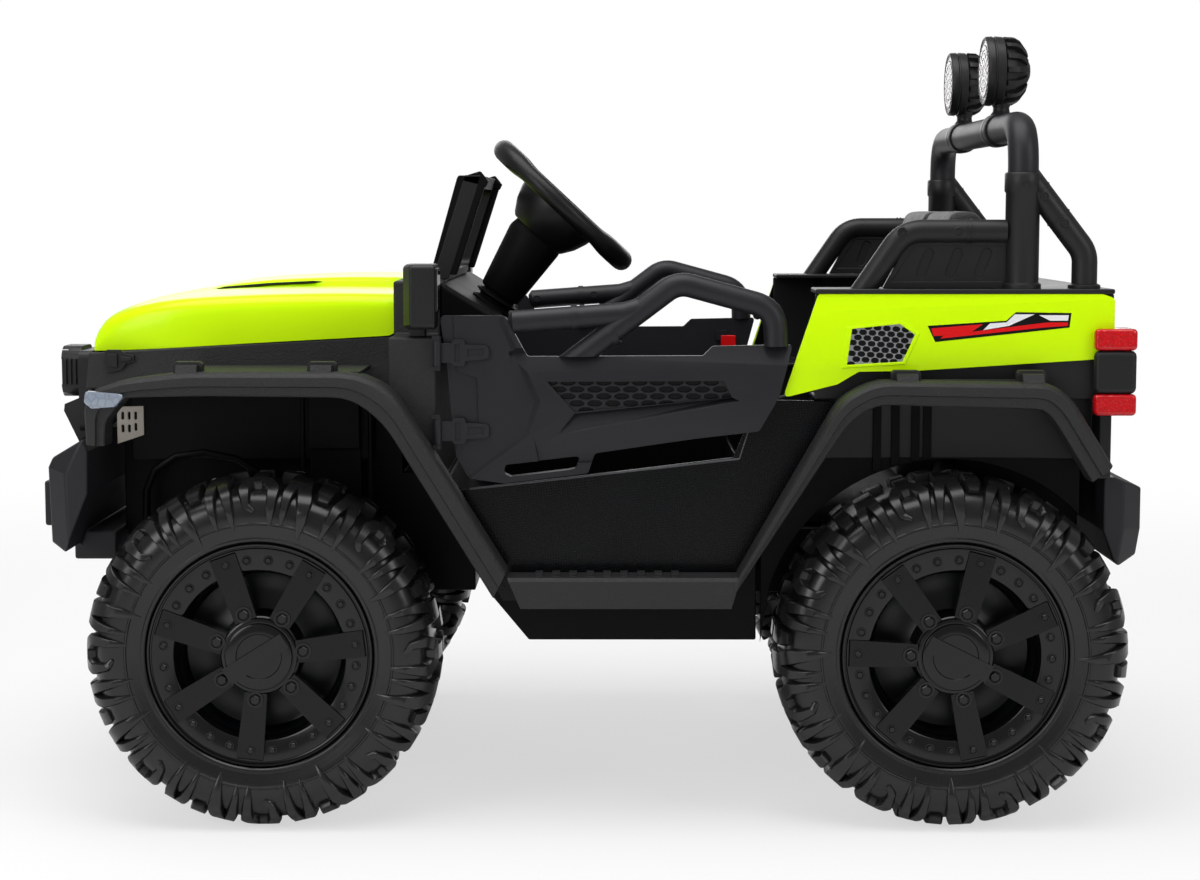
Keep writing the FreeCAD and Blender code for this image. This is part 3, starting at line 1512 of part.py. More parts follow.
def make_armrests():
    height = f"({deck_top} + armrest_rise)"
    rail = tube(
        "armrest_rail", "side", post_offset,
        [
            (f"{post_place} + armrest_length + armrest_radius", f"{deck_top} - 2 * armrest_radius"),
            (f"{post_place} + armrest_length - armrest_lean", height, "armrest_bend"),
            (post_place, height),
        ],
        "armrest_radius",
    )
    panel_points = [
        (f"{post_place} + post_radius / 2", deck_top),
        (f"{post_place} + armrest_length", deck_top),
        (f"{post_place} + armrest_length - armrest_lean", height),
        (f"{post_place} + post_radius / 2", height),
    ]
    panel = block(
        "armrest_panel", "side", panel_points, f"{post_offset} - armrest_panel / 2", "armrest_panel",
    )
    count = int(size("armrest_slots"))
    for index in range(count):
        start = f"({post_place} + post_radius * 2 + armrest_slot * {3 * index})"
        lean = "(armrest_slot * 0.8)"
        slot = [
            (f"{start} + {lean}", f"{deck_top} + armrest_slot"),
            (f"{start} + {lean} + armrest_slot", f"{deck_top} + armrest_slot"),
            (f"{start} + armrest_slot", f"{height} - armrest_radius - armrest_slot"),
            (start, f"{height} - armrest_radius - armrest_slot"),
        ]
        extrude(
            panel, "side", slot, f"{post_offset} - armrest_panel", "2 * armrest_panel", cutting=True
        )
    below = box(
        "below_deck", post_place, "0", f"{deck_top} - 4 * armrest_radius",
        "2 * armrest_length", "overall_width", "4 * armrest_radius",
    )
    seated = cut("armrest_on_deck", fuse("armrest", rail, panel), below)
    node_both("armrests", cut("armrest_seated", seated, nodes["roll_bar"]))


def make_spot_lamps():
    """Lamps on stalks from the hoop: a ribbed bowl behind, a lens in front."""
    top = f"{deck_top} + hoop_rise"
    stalk = bar(
        "stalk", "z", f"{post_place} - stalk_radius * 0.8", "spot_offset", top, "stalk_radius",
        "hoop_radius + stalk_height + post_radius", "bar_sides",
    )
    centre = f"({top} + hoop_radius + stalk_height + spot_radius - skin)"
    depth = "(spot_depth - spot_lens)"
    rows = [("0", "spot_radius * 0.5"), (f"{depth} * 0.22", "spot_radius * 0.84")]
    ribs = int(size("spot_ribs"))
    for rib in range(ribs):
        start = f"({depth} * {0.22 + rib * 0.2})"
        rows.append((f"{start} + {depth} * 0.05", "spot_radius * 0.93"))
        rows.append((f"{start} + {depth} * 0.13", "spot_radius * 0.93"))
        rows.append((f"{start} + {depth} * 0.16", "spot_radius * 0.93 - spot_rib"))
    rows += [(f"{depth} * 0.86", "spot_radius"), (depth, "spot_radius")]
    case = many_sided("spot_bowl", "bar_sides", rows)
    case.Placement.Rotation = FreeCAD.Rotation(FreeCAD.Vector(0, 1, 0), 90)
    put(case, f"{post_place} - spot_depth + post_radius", "spot_offset", centre)
    node_both("spot_lamps", fuse("spot", cut("stalk_on_bar", stalk, nodes["roll_bar"]), case))
    lens = bar(
        "spot_lens", "x", f"{post_place} + post_radius - spot_lens", "spot_offset", centre,
        "spot_radius - skin / 2", "spot_lens", "bar_sides",
    )
    node_both("spot_lenses", lens)


# Seats


def make_seats():
    front = f"({pillar} + door_gap * 2)"
    low = f"({seat_height} + fit_gap)"
    cushion = block(
        "seat_cushion", "side",
        rectangle(f"{front} - seat_length", front, low, f"{low} + cushion_height", "bonnet_corner"),
        "seat_split / 2", seat_width,
    )
    node_both("seat_cushions", cushion)
    back_start = f"({front} - seat_length)"
    shares = [(0, 0, 0.2), (1, 0, 0.2), (-0.35, 0.98, 0.6), (-1.35, 0.98, 0.8)]
    points = in_box(
        shares, f"{back_start} + seat_back_depth * 0.2", f"{low} + cushion_height + fit_gap",
        "seat_back_depth", "seat_back_height", "seat_back_depth / 2",
    )
    node_both("seat_backs", block("seat_back", "side", points, "seat_split / 2", seat_width))


# Rear end


def make_tail_lamps():
    outer = f"({body_half} + tail_lamp_proud)"
    low = f"({body_top} - tail_lamp_height - 8 * skin)"
    lens = "(tail_lamp_height / 4)"
    back = f"({rear_face} - tail_lamp_depth / 2)"
    pieces = {}
    levels = {
        "lower": (
            low, lens), "middle": (f"{low} + {lens}", f"2 * {lens}"), "upper": (f"{low} + 3 * {lens}",
            lens,
        )
    }
    notch = box(
        "lamp_notch", rear_face, "0", "0", "tail_lamp_depth * 2", body_half, f"2 * {body_top}",
    )
    for name, (height, depth) in levels.items():
        piece = box(
            "lamp_" + name, back, f"{outer} - tail_lamp_width", height,
            "tail_lamp_depth", "tail_lamp_width", depth,
        )
        pieces[name] = cut("lamp_seated_" + name, piece, notch)
    node_both("tail_lamp_boxes", pieces["middle"])
    upper, lower = pieces["upper"], pieces["lower"]
    node(
        "tail_lenses",
        group("lenses", upper, lower, mirrored("upper_r", upper), mirrored("lower_r", lower)),
    )


def make_rear_bumper():
    low = "(wheel_radius + rear_bumper_lift)"
    shares = [(0.6, 0), (0.74, 0.05), (1, 0.4), (1, 1), (0.75, 1), (0, 0.86), (0, 0.4), (0.1, 0.1)]
    points = in_box(shares, rear_end, low, "rear_bumper_depth", "rear_bumper_height")
    half = f"({body_half} - rear_bumper_inset)"
    body = across("rear_bumper", points, half)
    bevel(
        body, "bumper_bevel",
        lambda at, way: abs(way.z) > abs(way.x) and near(abs(at.y), half)
        and at.x < size(f"{rear_end} + skin"),
    )
    node("rear_bumper", body)


def build():
    make_wheels()
    make_front_axle()
    make_knuckle()
    make_tie_rod()
    make_cabin_tub()
    make_front_chassis()
    make_rear_chassis()
    make_rear_axle()
    make_cowl()
    make_dashboard()
    make_steering_wheel()
    make_steering_column()
    make_front_shell()
    make_bonnet()
    make_flares()
    make_steps()
    make_side_panels()
    make_rear_shell()
    make_quarters()
    make_tailgate()
    make_rear_deck()
    make_doors()
    make_door_hinges()
    make_grille()
    make_front_bumper()
    make_indicators()
    make_windscreen()
    make_mirrors()
    make_roll_bar()
    make_armrests()
    make_spot_lamps()
    make_seats()
    make_tail_lamps()
    make_rear_bumper()


def check_and_write():
    doc.recompute()
    broken = [item.Name for item in doc.Objects if {"Invalid", "Error"} & set(item.State)]
    if broken:
        raise SystemExit(f"these objects failed: {broken}")
    for label, item in nodes.items():
        shape = item.Shape
        if shape.isNull() or not shape.isValid() or not shape.Solids:
            raise SystemExit(f"{label} is not a valid solid")
    os.makedirs("parts", exist_ok=True)
    for label, item in nodes.items():
        item.Shape.exportStep(f"parts/{label}.step")
    print(len(nodes), "nodes written")


build()
check_and_write()
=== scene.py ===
import json
import math

import bmesh
import bpy
from mathutils import Matrix, Vector


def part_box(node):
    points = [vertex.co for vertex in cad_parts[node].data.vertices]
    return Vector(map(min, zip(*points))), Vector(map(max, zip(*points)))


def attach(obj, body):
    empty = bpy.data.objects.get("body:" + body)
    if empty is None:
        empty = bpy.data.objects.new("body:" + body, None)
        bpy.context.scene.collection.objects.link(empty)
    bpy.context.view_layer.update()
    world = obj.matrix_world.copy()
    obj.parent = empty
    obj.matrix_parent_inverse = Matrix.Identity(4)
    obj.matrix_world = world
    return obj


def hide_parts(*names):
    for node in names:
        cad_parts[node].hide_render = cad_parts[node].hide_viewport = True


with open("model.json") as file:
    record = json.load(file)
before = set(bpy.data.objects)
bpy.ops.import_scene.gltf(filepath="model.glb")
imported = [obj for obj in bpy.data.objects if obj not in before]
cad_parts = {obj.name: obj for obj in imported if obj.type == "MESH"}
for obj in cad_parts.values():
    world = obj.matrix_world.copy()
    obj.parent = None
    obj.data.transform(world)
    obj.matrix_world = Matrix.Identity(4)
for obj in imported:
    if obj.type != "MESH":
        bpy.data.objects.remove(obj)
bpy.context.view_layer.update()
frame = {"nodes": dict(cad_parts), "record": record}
mm = 0.001
up, across, along = Vector((0, 0, 1)), Vector((0, 1, 0)), Vector((1, 0, 0))
behaviour = frame["record"]["behaviour"]
joints = {joint["name"]: joint for joint in behaviour["joints"]}
bodies = {node: body for body, nodes in behaviour["bodies"].items() for node in nodes}
# pieces marked as lifted are drawn with their axles at this height
drawnAxle = 200
axleLift = joints["roll_front_left"]["pos_m"][2] / mm - drawnAxle


# Small tools. Shapes are written in millimetres and turned into metres here.


def turned(u, v, degrees):
    angle = math.radians(degrees)
    return u * math.cos(angle) - v * math.sin(angle), u * math.sin(angle) + v * math.cos(angle)


def circle(count):
    return [2 * math.pi * i / count for i in range(count)]


def arc(first, corner, last, steps):
    # points of a bend that starts toward the corner and ends away from it
    shares = [step / steps for step in range(steps + 1)]
    return [first * (1 - t) ** 2 + corner * 2 * t * (1 - t) + last * t ** 2 for t in shares]


def roundedCorners(points, radius, steps=4, closed=True):
    # flat or spatial points, each replaced by an arc of its radius
    corners = [Vector(p) for p in points]
    count = len(corners)
    radii = radius if isinstance(radius, (list, tuple)) else [radius] * count
    result = []
    for i, here in enumerate(corners):
        back = corners[i - 1] - here
        onward = corners[(i + 1) % count] - here
        isEnd = not closed and i in (0, count - 1)
        half = 0 if isEnd or radii[i] <= 0 else back.angle(onward) / 2
        if not 0 < half <= math.pi / 2 - 0.02:
            result.append(tuple(here))
            continue
        reach = min(radii[i] / math.tan(half), back.length * 0.48, onward.length * 0.48)
        first, last = here + back.normalized() * reach, here + onward.normalized() * reach
        result += [tuple(p) for p in arc(first, here, last, steps)]
    return result


def bentEdge(corners, bends, steps=4):
    # an open edge, each inner corner always eased over the same number of points
    points = [Vector(p) for p in corners]
    result = [points[0]]
    for back, here, onward, bend in zip(points, points[1:], points[2:], bends[1:]):
        ends = [here + (p - here).normalized() * min(bend, (p - here).length * 0.45) for p in (back, onward)]
        result += arc(ends[0], here, ends[1], steps)
    return result + [points[-1]]


def smoothed(table, steps=6):
    # a smooth run through every row of the table
    rows = [[float(v) for v in row] for row in table]
    rows = [rows[0]] + rows + [rows[-1]]
    result = []
    for i in range(1, len(rows) - 2):
        a, b, c, d = rows[i - 1:i + 3]
        for step in range(steps):
            t = step / steps
            result.append([
                0.5 * (2 * q + (r - p) * t + (2 * p - 5 * q + 4 * r - s) * t ** 2
                       + (3 * q - p - 3 * r + s) * t ** 3)
                for p, q, r, s in zip(a, b, c, d)
            ])
    return result + [rows[-1]]


def middleOf(outline):
    return Vector([sum(p[k] for p in outline) / len(outline) for k in (0, 1)])


def scaled(outline, share):
    middle = middleOf(outline)
    return [tuple(middle + (Vector(p) - middle) * share) for p in outline]


def addRings(bm, rings, closedRing=True, closedRow=False, caps=(True, True), finish=0):
    # a skin over rings of as many points each
    rows = [[bm.verts.new(Vector(p) * mm) for p in ring] for ring in rings]
    pairs = list(zip(rows, rows[1:]))
    if closedRow:
        pairs.append((rows[-1], rows[0]))
    count = len(rows[0])
    made = []
    for a, b in pairs:
        for i in range(count if closedRing else count - 1):
            j = (i + 1) % count
            made.append(bm.faces.new((a[i], a[j], b[j], b[i])))
    if not closedRow and caps[0]:
        made.append(bm.faces.new(rows[0][::-1]))
    if not closedRow and caps[1]:
        made.append(bm.faces.new(rows[-1]))
    for face in made:
        face.material_index = finish
    return made


def addPrism(bm, outline, axis, low, high, finish=0):
    # an outline in the plane across the axis, from low to high along it
    places = {"x": lambda u, v, w: (w, u, v), "y": lambda u, v, w: (u, w, v), "z": lambda u, v, w: (u, v, w)}
    return addRings(bm, [[places[axis](u, v, w) for u, v in outline] for w in (low, high)], finish=finish)


def prism(*shape):
    bm = bmesh.new()
    addPrism(bm, *shape)
    return bm


def addBlock(bm, low, high):
    outline = [(low[0], low[1]), (high[0], low[1]), (high[0], high[1]), (low[0], high[1])]
    addPrism(bm, outline, "z", low[2], high[2])


def addHull(bm, points):
    made = bmesh.ops.convex_hull(bm, input=[bm.verts.new(Vector(p) * mm) for p in points])
    loose = {g for g in made["geom_interior"] + made["geom_unused"] if isinstance(g, bmesh.types.BMVert)}
    bmesh.ops.delete(bm, geom=list(loose), context="VERTS")


def framesAlong(path):
    # a steady pair of side directions at each point of a path
    points = [Vector(p) for p in path]
    last = len(points) - 1
    heads = [(points[min(i + 1, last)] - points[max(i - 1, 0)]).normalized() for i in range(len(points))]
    side = heads[0].orthogonal().normalized()
    if abs(heads[0].y) < 0.9:
        side = (across - heads[0] * across.dot(heads[0])).normalized()
    result = []
    for point, head in zip(points, heads):
        side = (side - head * side.dot(head)).normalized()
        result.append((point, side, head.cross(side)))
    return result


def addTube(bm, path, radius, sides=20):
    radii = radius if isinstance(radius, (list, tuple)) else [radius] * len(path)
    rings = []
    for (point, side, rise), r in zip(framesAlong(path), radii):
        rings.append([point + side * (r * math.cos(a)) + rise * (r * math.sin(a)) for a in circle(sides)])
    addRings(bm, rings)


def addRail(bm, corners, radius, bend, sides=22, narrow=0):
    # a round bar that follows the corners with even bends; its start may narrow into what holds it
    path = [Vector(p) for p in roundedCorners(corners, bend, 9, closed=False)]
    radii = [radius] * len(path)
    if narrow:
        path.insert(1, path[0] + (path[1] - path[0]).normalized() * 5)
        radii[:1] = [narrow, radius]
    addTube(bm, path, radii, sides)


def addLathe(bm, profile, centre, axis, segments=48, finish=0, closed=False, start=0.0):
    # profile rows are (distance along the axis, radius)
    axis = Vector(axis).normalized()
    side = axis.orthogonal().normalized()
    if abs(axis.z) < 0.9:
        side = (up - axis * up.dot(axis)).normalized()
    rise = axis.cross(side)
    rings = []
    for angle in circle(segments):
        out = side * math.cos(start + angle) + rise * math.sin(start + angle)
        rings.append([Vector(centre) + axis * a + out * max(r, 0.01) for a, r in profile])
    return addRings(bm, rings, closedRing=closed, closedRow=True, finish=finish)


def addCollar(bm, rows, radius, centre, axis, segments):
    # a ring round a bar; its rows are (distance along the bar, rise over the radius)
    addLathe(bm, [(a, radius + b) for a, b in rows], centre, axis, segments, closed=True)


def addDisc(bm, centre, axis, radius, length, sides=24, chamfer=0.0, start=0.0):
    # a short round or many-sided stud that rises from centre along axis
    profile = [(0, 0), (0, radius), (length - chamfer, radius), (length, radius - chamfer), (length, 0)]
    addLathe(bm, profile, centre, axis, sides, start=start)


screwProfile = [(-1, 0), (-1, 0.62), (0.4, 0.66), (0.5, 0.95), (0, 1.05), (-2, 1.05)]


def addScrew(bm, place, axis, radius):
    # the mouth of a screw hole: a low ring round a sunken floor, its profile in shares of the radius
    addLathe(bm, [(a, b * radius) for a, b in screwProfile], place, axis, 20)


def pill(u, v, length, width, lean=0.0, steps=6):
    # a slot with round ends, its middle at u, v
    result = []
    for end in (1, -1):
        for step in range(steps + 1):
            angle = math.radians(90 * end - 180 * step / steps)
            a, b = (length - width) / 2 * end + width / 2 * math.cos(angle), width / 2 * math.sin(angle)
            a, b = turned(a, b, lean)
            result.append((u + a, v + b))
    return result


def addObject(name, data):
    holder = bpy.data.objects.new(name, data)
    bpy.context.collection.objects.link(holder)
    return holder


def linked(name, bm):
    mesh = bpy.data.meshes.new(name)
    bm.to_mesh(mesh)
    bm.free()
    return addObject(name, mesh)


def joined(first, second):
    mesh = bpy.data.meshes.new("joining")
    second.to_mesh(mesh)
    second.free()
    first.from_mesh(mesh)
    bpy.data.meshes.remove(mesh)
    return first


def addModifier(piece, kind, **settings):
    modifier = piece.modifiers.new(kind.title(), kind)
    for name, value in settings.items():
        setattr(modifier, name, value)
    return modifier


def carve(solid, cutter, operation="DIFFERENCE"):
    # one working mesh cut by another
    for bm in (solid, cutter):
        bmesh.ops.recalc_face_normals(bm, faces=bm.faces[:])
    holders = [linked("solid", solid), linked("cutter", cutter)]
    addModifier(holders[0], "BOOLEAN", object=holders[1], operation=operation, solver="EXACT", use_self=True)
    result = bmesh.new()
    result.from_mesh(holders[0].evaluated_get(bpy.context.evaluated_depsgraph_get()).data)
    for holder in holders:
        mesh = holder.data
        bpy.data.objects.remove(holder)
        bpy.data.meshes.remove(mesh)
    bmesh.ops.remove_doubles(result, verts=result.verts[:], dist=2e-5)
    bmesh.ops.dissolve_limit(result, angle_limit=math.radians(1), verts=result.verts[:], edges=result.edges[:])
    return result


def carveHulls(solid, hulls, face):
    # hulls are points with their middle number counted out from the face
    for points in hulls:
        cutter = bmesh.new()
        addHull(cutter, [(x, face + y, z) for x, y, z in points])
        solid = carve(solid, cutter)
    return solid


def inside(point, outline):
    x, z = point
    crossings = 0
    for (ax, az), (bx, bz) in zip(outline, outline[1:] + outline[:1]):
        if (az > z) != (bz > z) and x < (bx - ax) * (z - az) / (bz - az) + ax:
            crossings += 1
    return crossings % 2 == 1


def honeycomb(outline, low, high, pitch, rowHeight, wall, lean=0.0):
    # a plate over the outline with rows of six-sided holes, flattened at their tips
    plate, cutter = prism(outline, "y", low, high), bmesh.new()
    us, vs = [p[0] for p in outline], [p[1] for p in outline]
    middle = ((min(us) + max(us)) / 2, (min(vs) + max(vs)) / 2)
    halfU, halfV = pitch / 2 - wall / 2, rowHeight * 2 / 3 - wall / 2
    columns = int((max(us) - min(us)) / pitch) + 3
    rows = int((max(vs) - min(vs)) / rowHeight) + 3
    hexagon = ((1, 0.4), (0.5, 1), (-0.5, 1), (-1, 0.4), (-1, -0.4), (-0.5, -1), (0.5, -1), (1, -0.4))
    corners = [turned(a * halfU, b * halfV, lean) for a, b in hexagon]
    for row in range(-rows, rows + 1):
        for column in range(-columns, columns + 1):
            u, v = turned((column + (0.5 if row % 2 else 0)) * pitch, row * rowHeight, lean)
            u, v = u + middle[0], v + middle[1]
            if inside((u, v), outline):
                addPrism(cutter, [(u + a, v + b) for a, b in corners], "y", low - 5, high + 5)
    return carve(plate, cutter)


def boxOf(node):
    low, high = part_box(node)
    return Vector(low) / mm, Vector(high) / mm


def solidOf(node):
    # a working copy of a CAD node's mesh, its flat faces joined again
    bm = bmesh.new()
    bm.from_mesh(frame["nodes"][node].data)
    bm.transform(frame["nodes"][node].matrix_world)
    bmesh.ops.remove_doubles(bm, verts=bm.verts[:], dist=2e-5)
    bmesh.ops.dissolve_limit(
        bm, angle_limit=math.radians(1.5), verts=bm.verts[:], edges=bm.edges[:], use_dissolve_boundaries=False
    )
    return bm


def addReflection(bm):
    # the mirror image of all faces, on the vehicle's other side
    copy = bmesh.ops.duplicate(bm, geom=bm.verts[:] + bm.faces[:])["geom"]
    for v in [g for g in copy if isinstance(g, bmesh.types.BMVert)]:
        v.co.y = -v.co.y
    bmesh.ops.reverse_faces(bm, faces=[g for g in copy if isinstance(g, bmesh.types.BMFace)])


def makePiece(name, bm, finish, home, replaces=False, bevel=0.0, segments=2, angle=35, subdivide=0,
              bothSides=False, lifted=False, slot=None):
    # home is the CAD node that gives the body; the slot argument is not used
    if lifted:
        bm.transform(Matrix.Translation((0, 0, axleLift * mm)))
    if bothSides:
        addReflection(bm)
    # new and mirrored faces carry stale normals, which would leave some bodies inside out
    bm.normal_update()
    bmesh.ops.recalc_face_normals(bm, faces=bm.faces[:])
    piece = linked(name, bm)
    for each in [finish] if isinstance(finish, str) else finish:
        piece.data.materials.append(finishes[each])
    piece.data.shade_smooth()
    piece.data.set_sharp_from_angle(angle=math.radians(angle))
    if bevel:
        addModifier(piece, "BEVEL", width=bevel * mm, segments=segments, limit_method="ANGLE",
                    angle_limit=math.radians(angle), harden_normals=True, use_clamp_overlap=True)
    if subdivide:
        addModifier(piece, "SUBSURF", levels=subdivide, render_levels=subdivide)
    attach(piece, bodies[home])
    if replaces:
        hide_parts(home)
    return piece


def makePair(name, bm, finish, home, replaces=False, **settings):
    # a lifted piece with its mirror image on the other side
    return makePiece(name, bm, finish, home, replaces, bothSides=True, lifted=True, **settings)


# Finishes


def addNode(tree, kind, inputs=None, **settings):
    node = tree.nodes.new("ShaderNode" + kind)
    for name, value in settings.items():
        setattr(node, name, value)
    for name, value in (inputs or {}).items():
        if isinstance(value, bpy.types.NodeSocket):
            tree.links.new(value, node.inputs[name])
        else:
            node.inputs[name].default_value = value
    return node


def shade(tree, value, low, high):
    # spreads a 0 to 1 value between two numbers
    return addNode(tree, "MapRange", {"Value": value, "To Min": low, "To Max": high}).outputs["Result"]


def blendColors(tree, factor, first, second):
    first, second = (c if isinstance(c, bpy.types.NodeSocket) else (*c, 1) for c in (first, second))
    return addNode(tree, "Mix", {"Factor": factor, 6: first, 7: second}, data_type="RGBA").outputs[2]


def darker(color, share):
    return tuple(c * share for c in color)


def startFinish(name, **sockets):
    finish = bpy.data.materials.new(name)
    finish.use_nodes = True
    tree = finish.node_tree
    shader = tree.nodes["Principled BSDF"]
    for socket, value in sockets.items():
        shader.inputs[socket.replace("_", " ")].default_value = value
    return finish, tree, shader, addNode(tree, "TexCoord").outputs["Object"]


def noise(tree, place, size, detail=3.0, roughness=0.5):
    # size is that of one lump, in millimetres
    inputs = {"Vector": place, "Scale": 1000 / size, "Detail": detail, "Roughness": roughness}
    return addNode(tree, "TexNoise", inputs).outputs["Fac"]


def cells(tree, place, size, feature):
    # size is that of one cell, in millimetres
    inputs = {"Vector": place, "Scale": 1000 / size}
    return addNode(tree, "TexVoronoi", inputs, feature=feature).outputs["Distance"]


def plus(tree, first, second):
    return addNode(tree, "Math", {0: first, 1: second}, operation="ADD").outputs[0]


def upTo(tree, value, most):
    return addNode(tree, "MapRange", {"Value": value, "From Max": most}).outputs[0]


def finishWith(tree, shader, base, rough, height, strength, depth):
    # the colour, the roughness and a relief of this depth in millimetres
    tree.links.new(base, shader.inputs["Base Color"])
    tree.links.new(rough, shader.inputs["Roughness"])
    bump = addNode(tree, "Bump", {"Height": height, "Strength": strength, "Distance": depth * mm})
    tree.links.new(bump.outputs["Normal"], shader.inputs["Normal"])


def moulded(name, settings):
    # a moulded plastic with a grain, paler where a sharp edge sticks out: partly edge wear, partly a painted edge
    # highlight
    s = {"grain": 3, "bump": 0.05, "depth": 0.1, "tint": 0.18, "wear": 0, "pebble": 0, "specular": 0.5,
         "coat": 0, "coatRough": 0.1, **settings}
    finish, tree, shader, place = startFinish(
        name, Specular_IOR_Level=s["specular"], Coat_Weight=s["coat"], Coat_Roughness=s["coatRough"]
    )
    cloud = noise(tree, place, 60, 2)
    height = noise(tree, place, s["grain"], 4, 0.6)
    pale = tuple(min(c * (1 + s["tint"]), 1) for c in s["color"])
    base = blendColors(tree, cloud, darker(s["color"], 1 - s["tint"]), pale)
    if s["wear"]:
        # convex edges are lightened by their pointiness: partly wear, partly a painted highlight along the edges
        point = addNode(tree, "NewGeometry").outputs["Pointiness"]
        worn = {"Value": point, "From Min": 0.52, "From Max": 0.62, "To Max": s["wear"]}
        base = blendColors(tree, addNode(tree, "MapRange", worn).outputs["Result"], base, s["worn"])
    if s["pebble"]:
        height = plus(tree, cells(tree, place, s["pebble"], "SMOOTH_F1"), height)
    finishWith(tree, shader, base, shade(tree, cloud, *s["rough"]), height, s["bump"], s["depth"])
    return finish


def woven(name, s):
    # gloss film printed with a twill weave, its threads crossing at two slants
    finish, tree, shader, place = startFinish(
        name, Specular_IOR_Level=s["specular"], Coat_Weight=s["coat"], Coat_Roughness=0.08
    )
    lean = addNode(tree, "Mapping", {"Vector": place, "Rotation": (0, math.radians(s["lean"]), 0)}).outputs[0]
    checks = addNode(tree, "TexChecker", {"Vector": lean, "Scale": 1000 / s["thread"]}).outputs["Fac"]
    waves = {"Vector": lean, "Scale": 320 / s["thread"], "Distortion": 0.4}
    warp, weft = (addNode(tree, "TexWave", waves, bands_direction=way).outputs["Fac"] for way in ("X", "Z"))
    threads = addNode(tree, "Mix", {"Factor": checks, 2: warp, 3: weft}).outputs[0]
    weave = blendColors(tree, threads, s["color"], s["threadColor"])
    base = blendColors(tree, noise(tree, place, 90, 2), weave, darker(s["color"], 0.8))
    finishWith(tree, shader, base, shade(tree, checks, *s["rough"]), threads, s["bump"], s["depth"])
    return finish


def lens(name, s):
    # a moulded lens: facets under a clear face
    finish, tree, shader, place = startFinish(
        name, Specular_IOR_Level=s.get("specular", 0.5), Coat_Weight=s["coat"], Coat_Roughness=0.03,
        Transmission_Weight=s["clear"], IOR=1.49,
    )
    facets = cells(tree, place, s["facet"], "F1")
    joint = upTo(tree, cells(tree, place, s["facet"], "DISTANCE_TO_EDGE"), 0.12)
    base = blendColors(tree, joint, s["joint"], s["color"])
    base = blendColors(tree, noise(tree, place, 25, 2), base, darker(s["color"], 0.7))
    finishWith(tree, shader, base, shade(tree, facets, 0.04, 0.16), facets, 0.6, s["depth"])
    return finish


def leather(name, s):
    finish, tree, shader, place = startFinish(
        name, Specular_IOR_Level=0.4, Sheen_Weight=0.15, Sheen_Roughness=0.5
    )
    grain = upTo(tree, cells(tree, place, s["grain"], "DISTANCE_TO_EDGE"), 0.3)
    cloud = noise(tree, place, 45, 3)
    base = blendColors(tree, cloud, s["color"], s["pale"])
    base = blendColors(tree, shade(tree, grain, 0.5, 0.0), base, darker(s["color"], 0.4))
    height = plus(tree, grain, noise(tree, place, 9, 5, 0.6))
    finishWith(tree, shader, base, shade(tree, cloud, 0.42, 0.62), height, 0.5, 0.5)
    return finish


def metal(name, s):
    finish, tree, shader, place = startFinish(name, Metallic=1.0)
    stretch = addNode(tree, "Mapping", {"Vector": place, "Scale": (1, 1 - s["brushed"], 1)}).outputs[0]
    streaks = noise(tree, stretch, 1.2, 4)
    base = blendColors(tree, noise(tree, place, 30, 2), darker(s["color"], 0.85), s["color"])
    finishWith(tree, shader, base, shade(tree, streaks, *s["rough"]), streaks, 0.15, 0.1)
    return finish


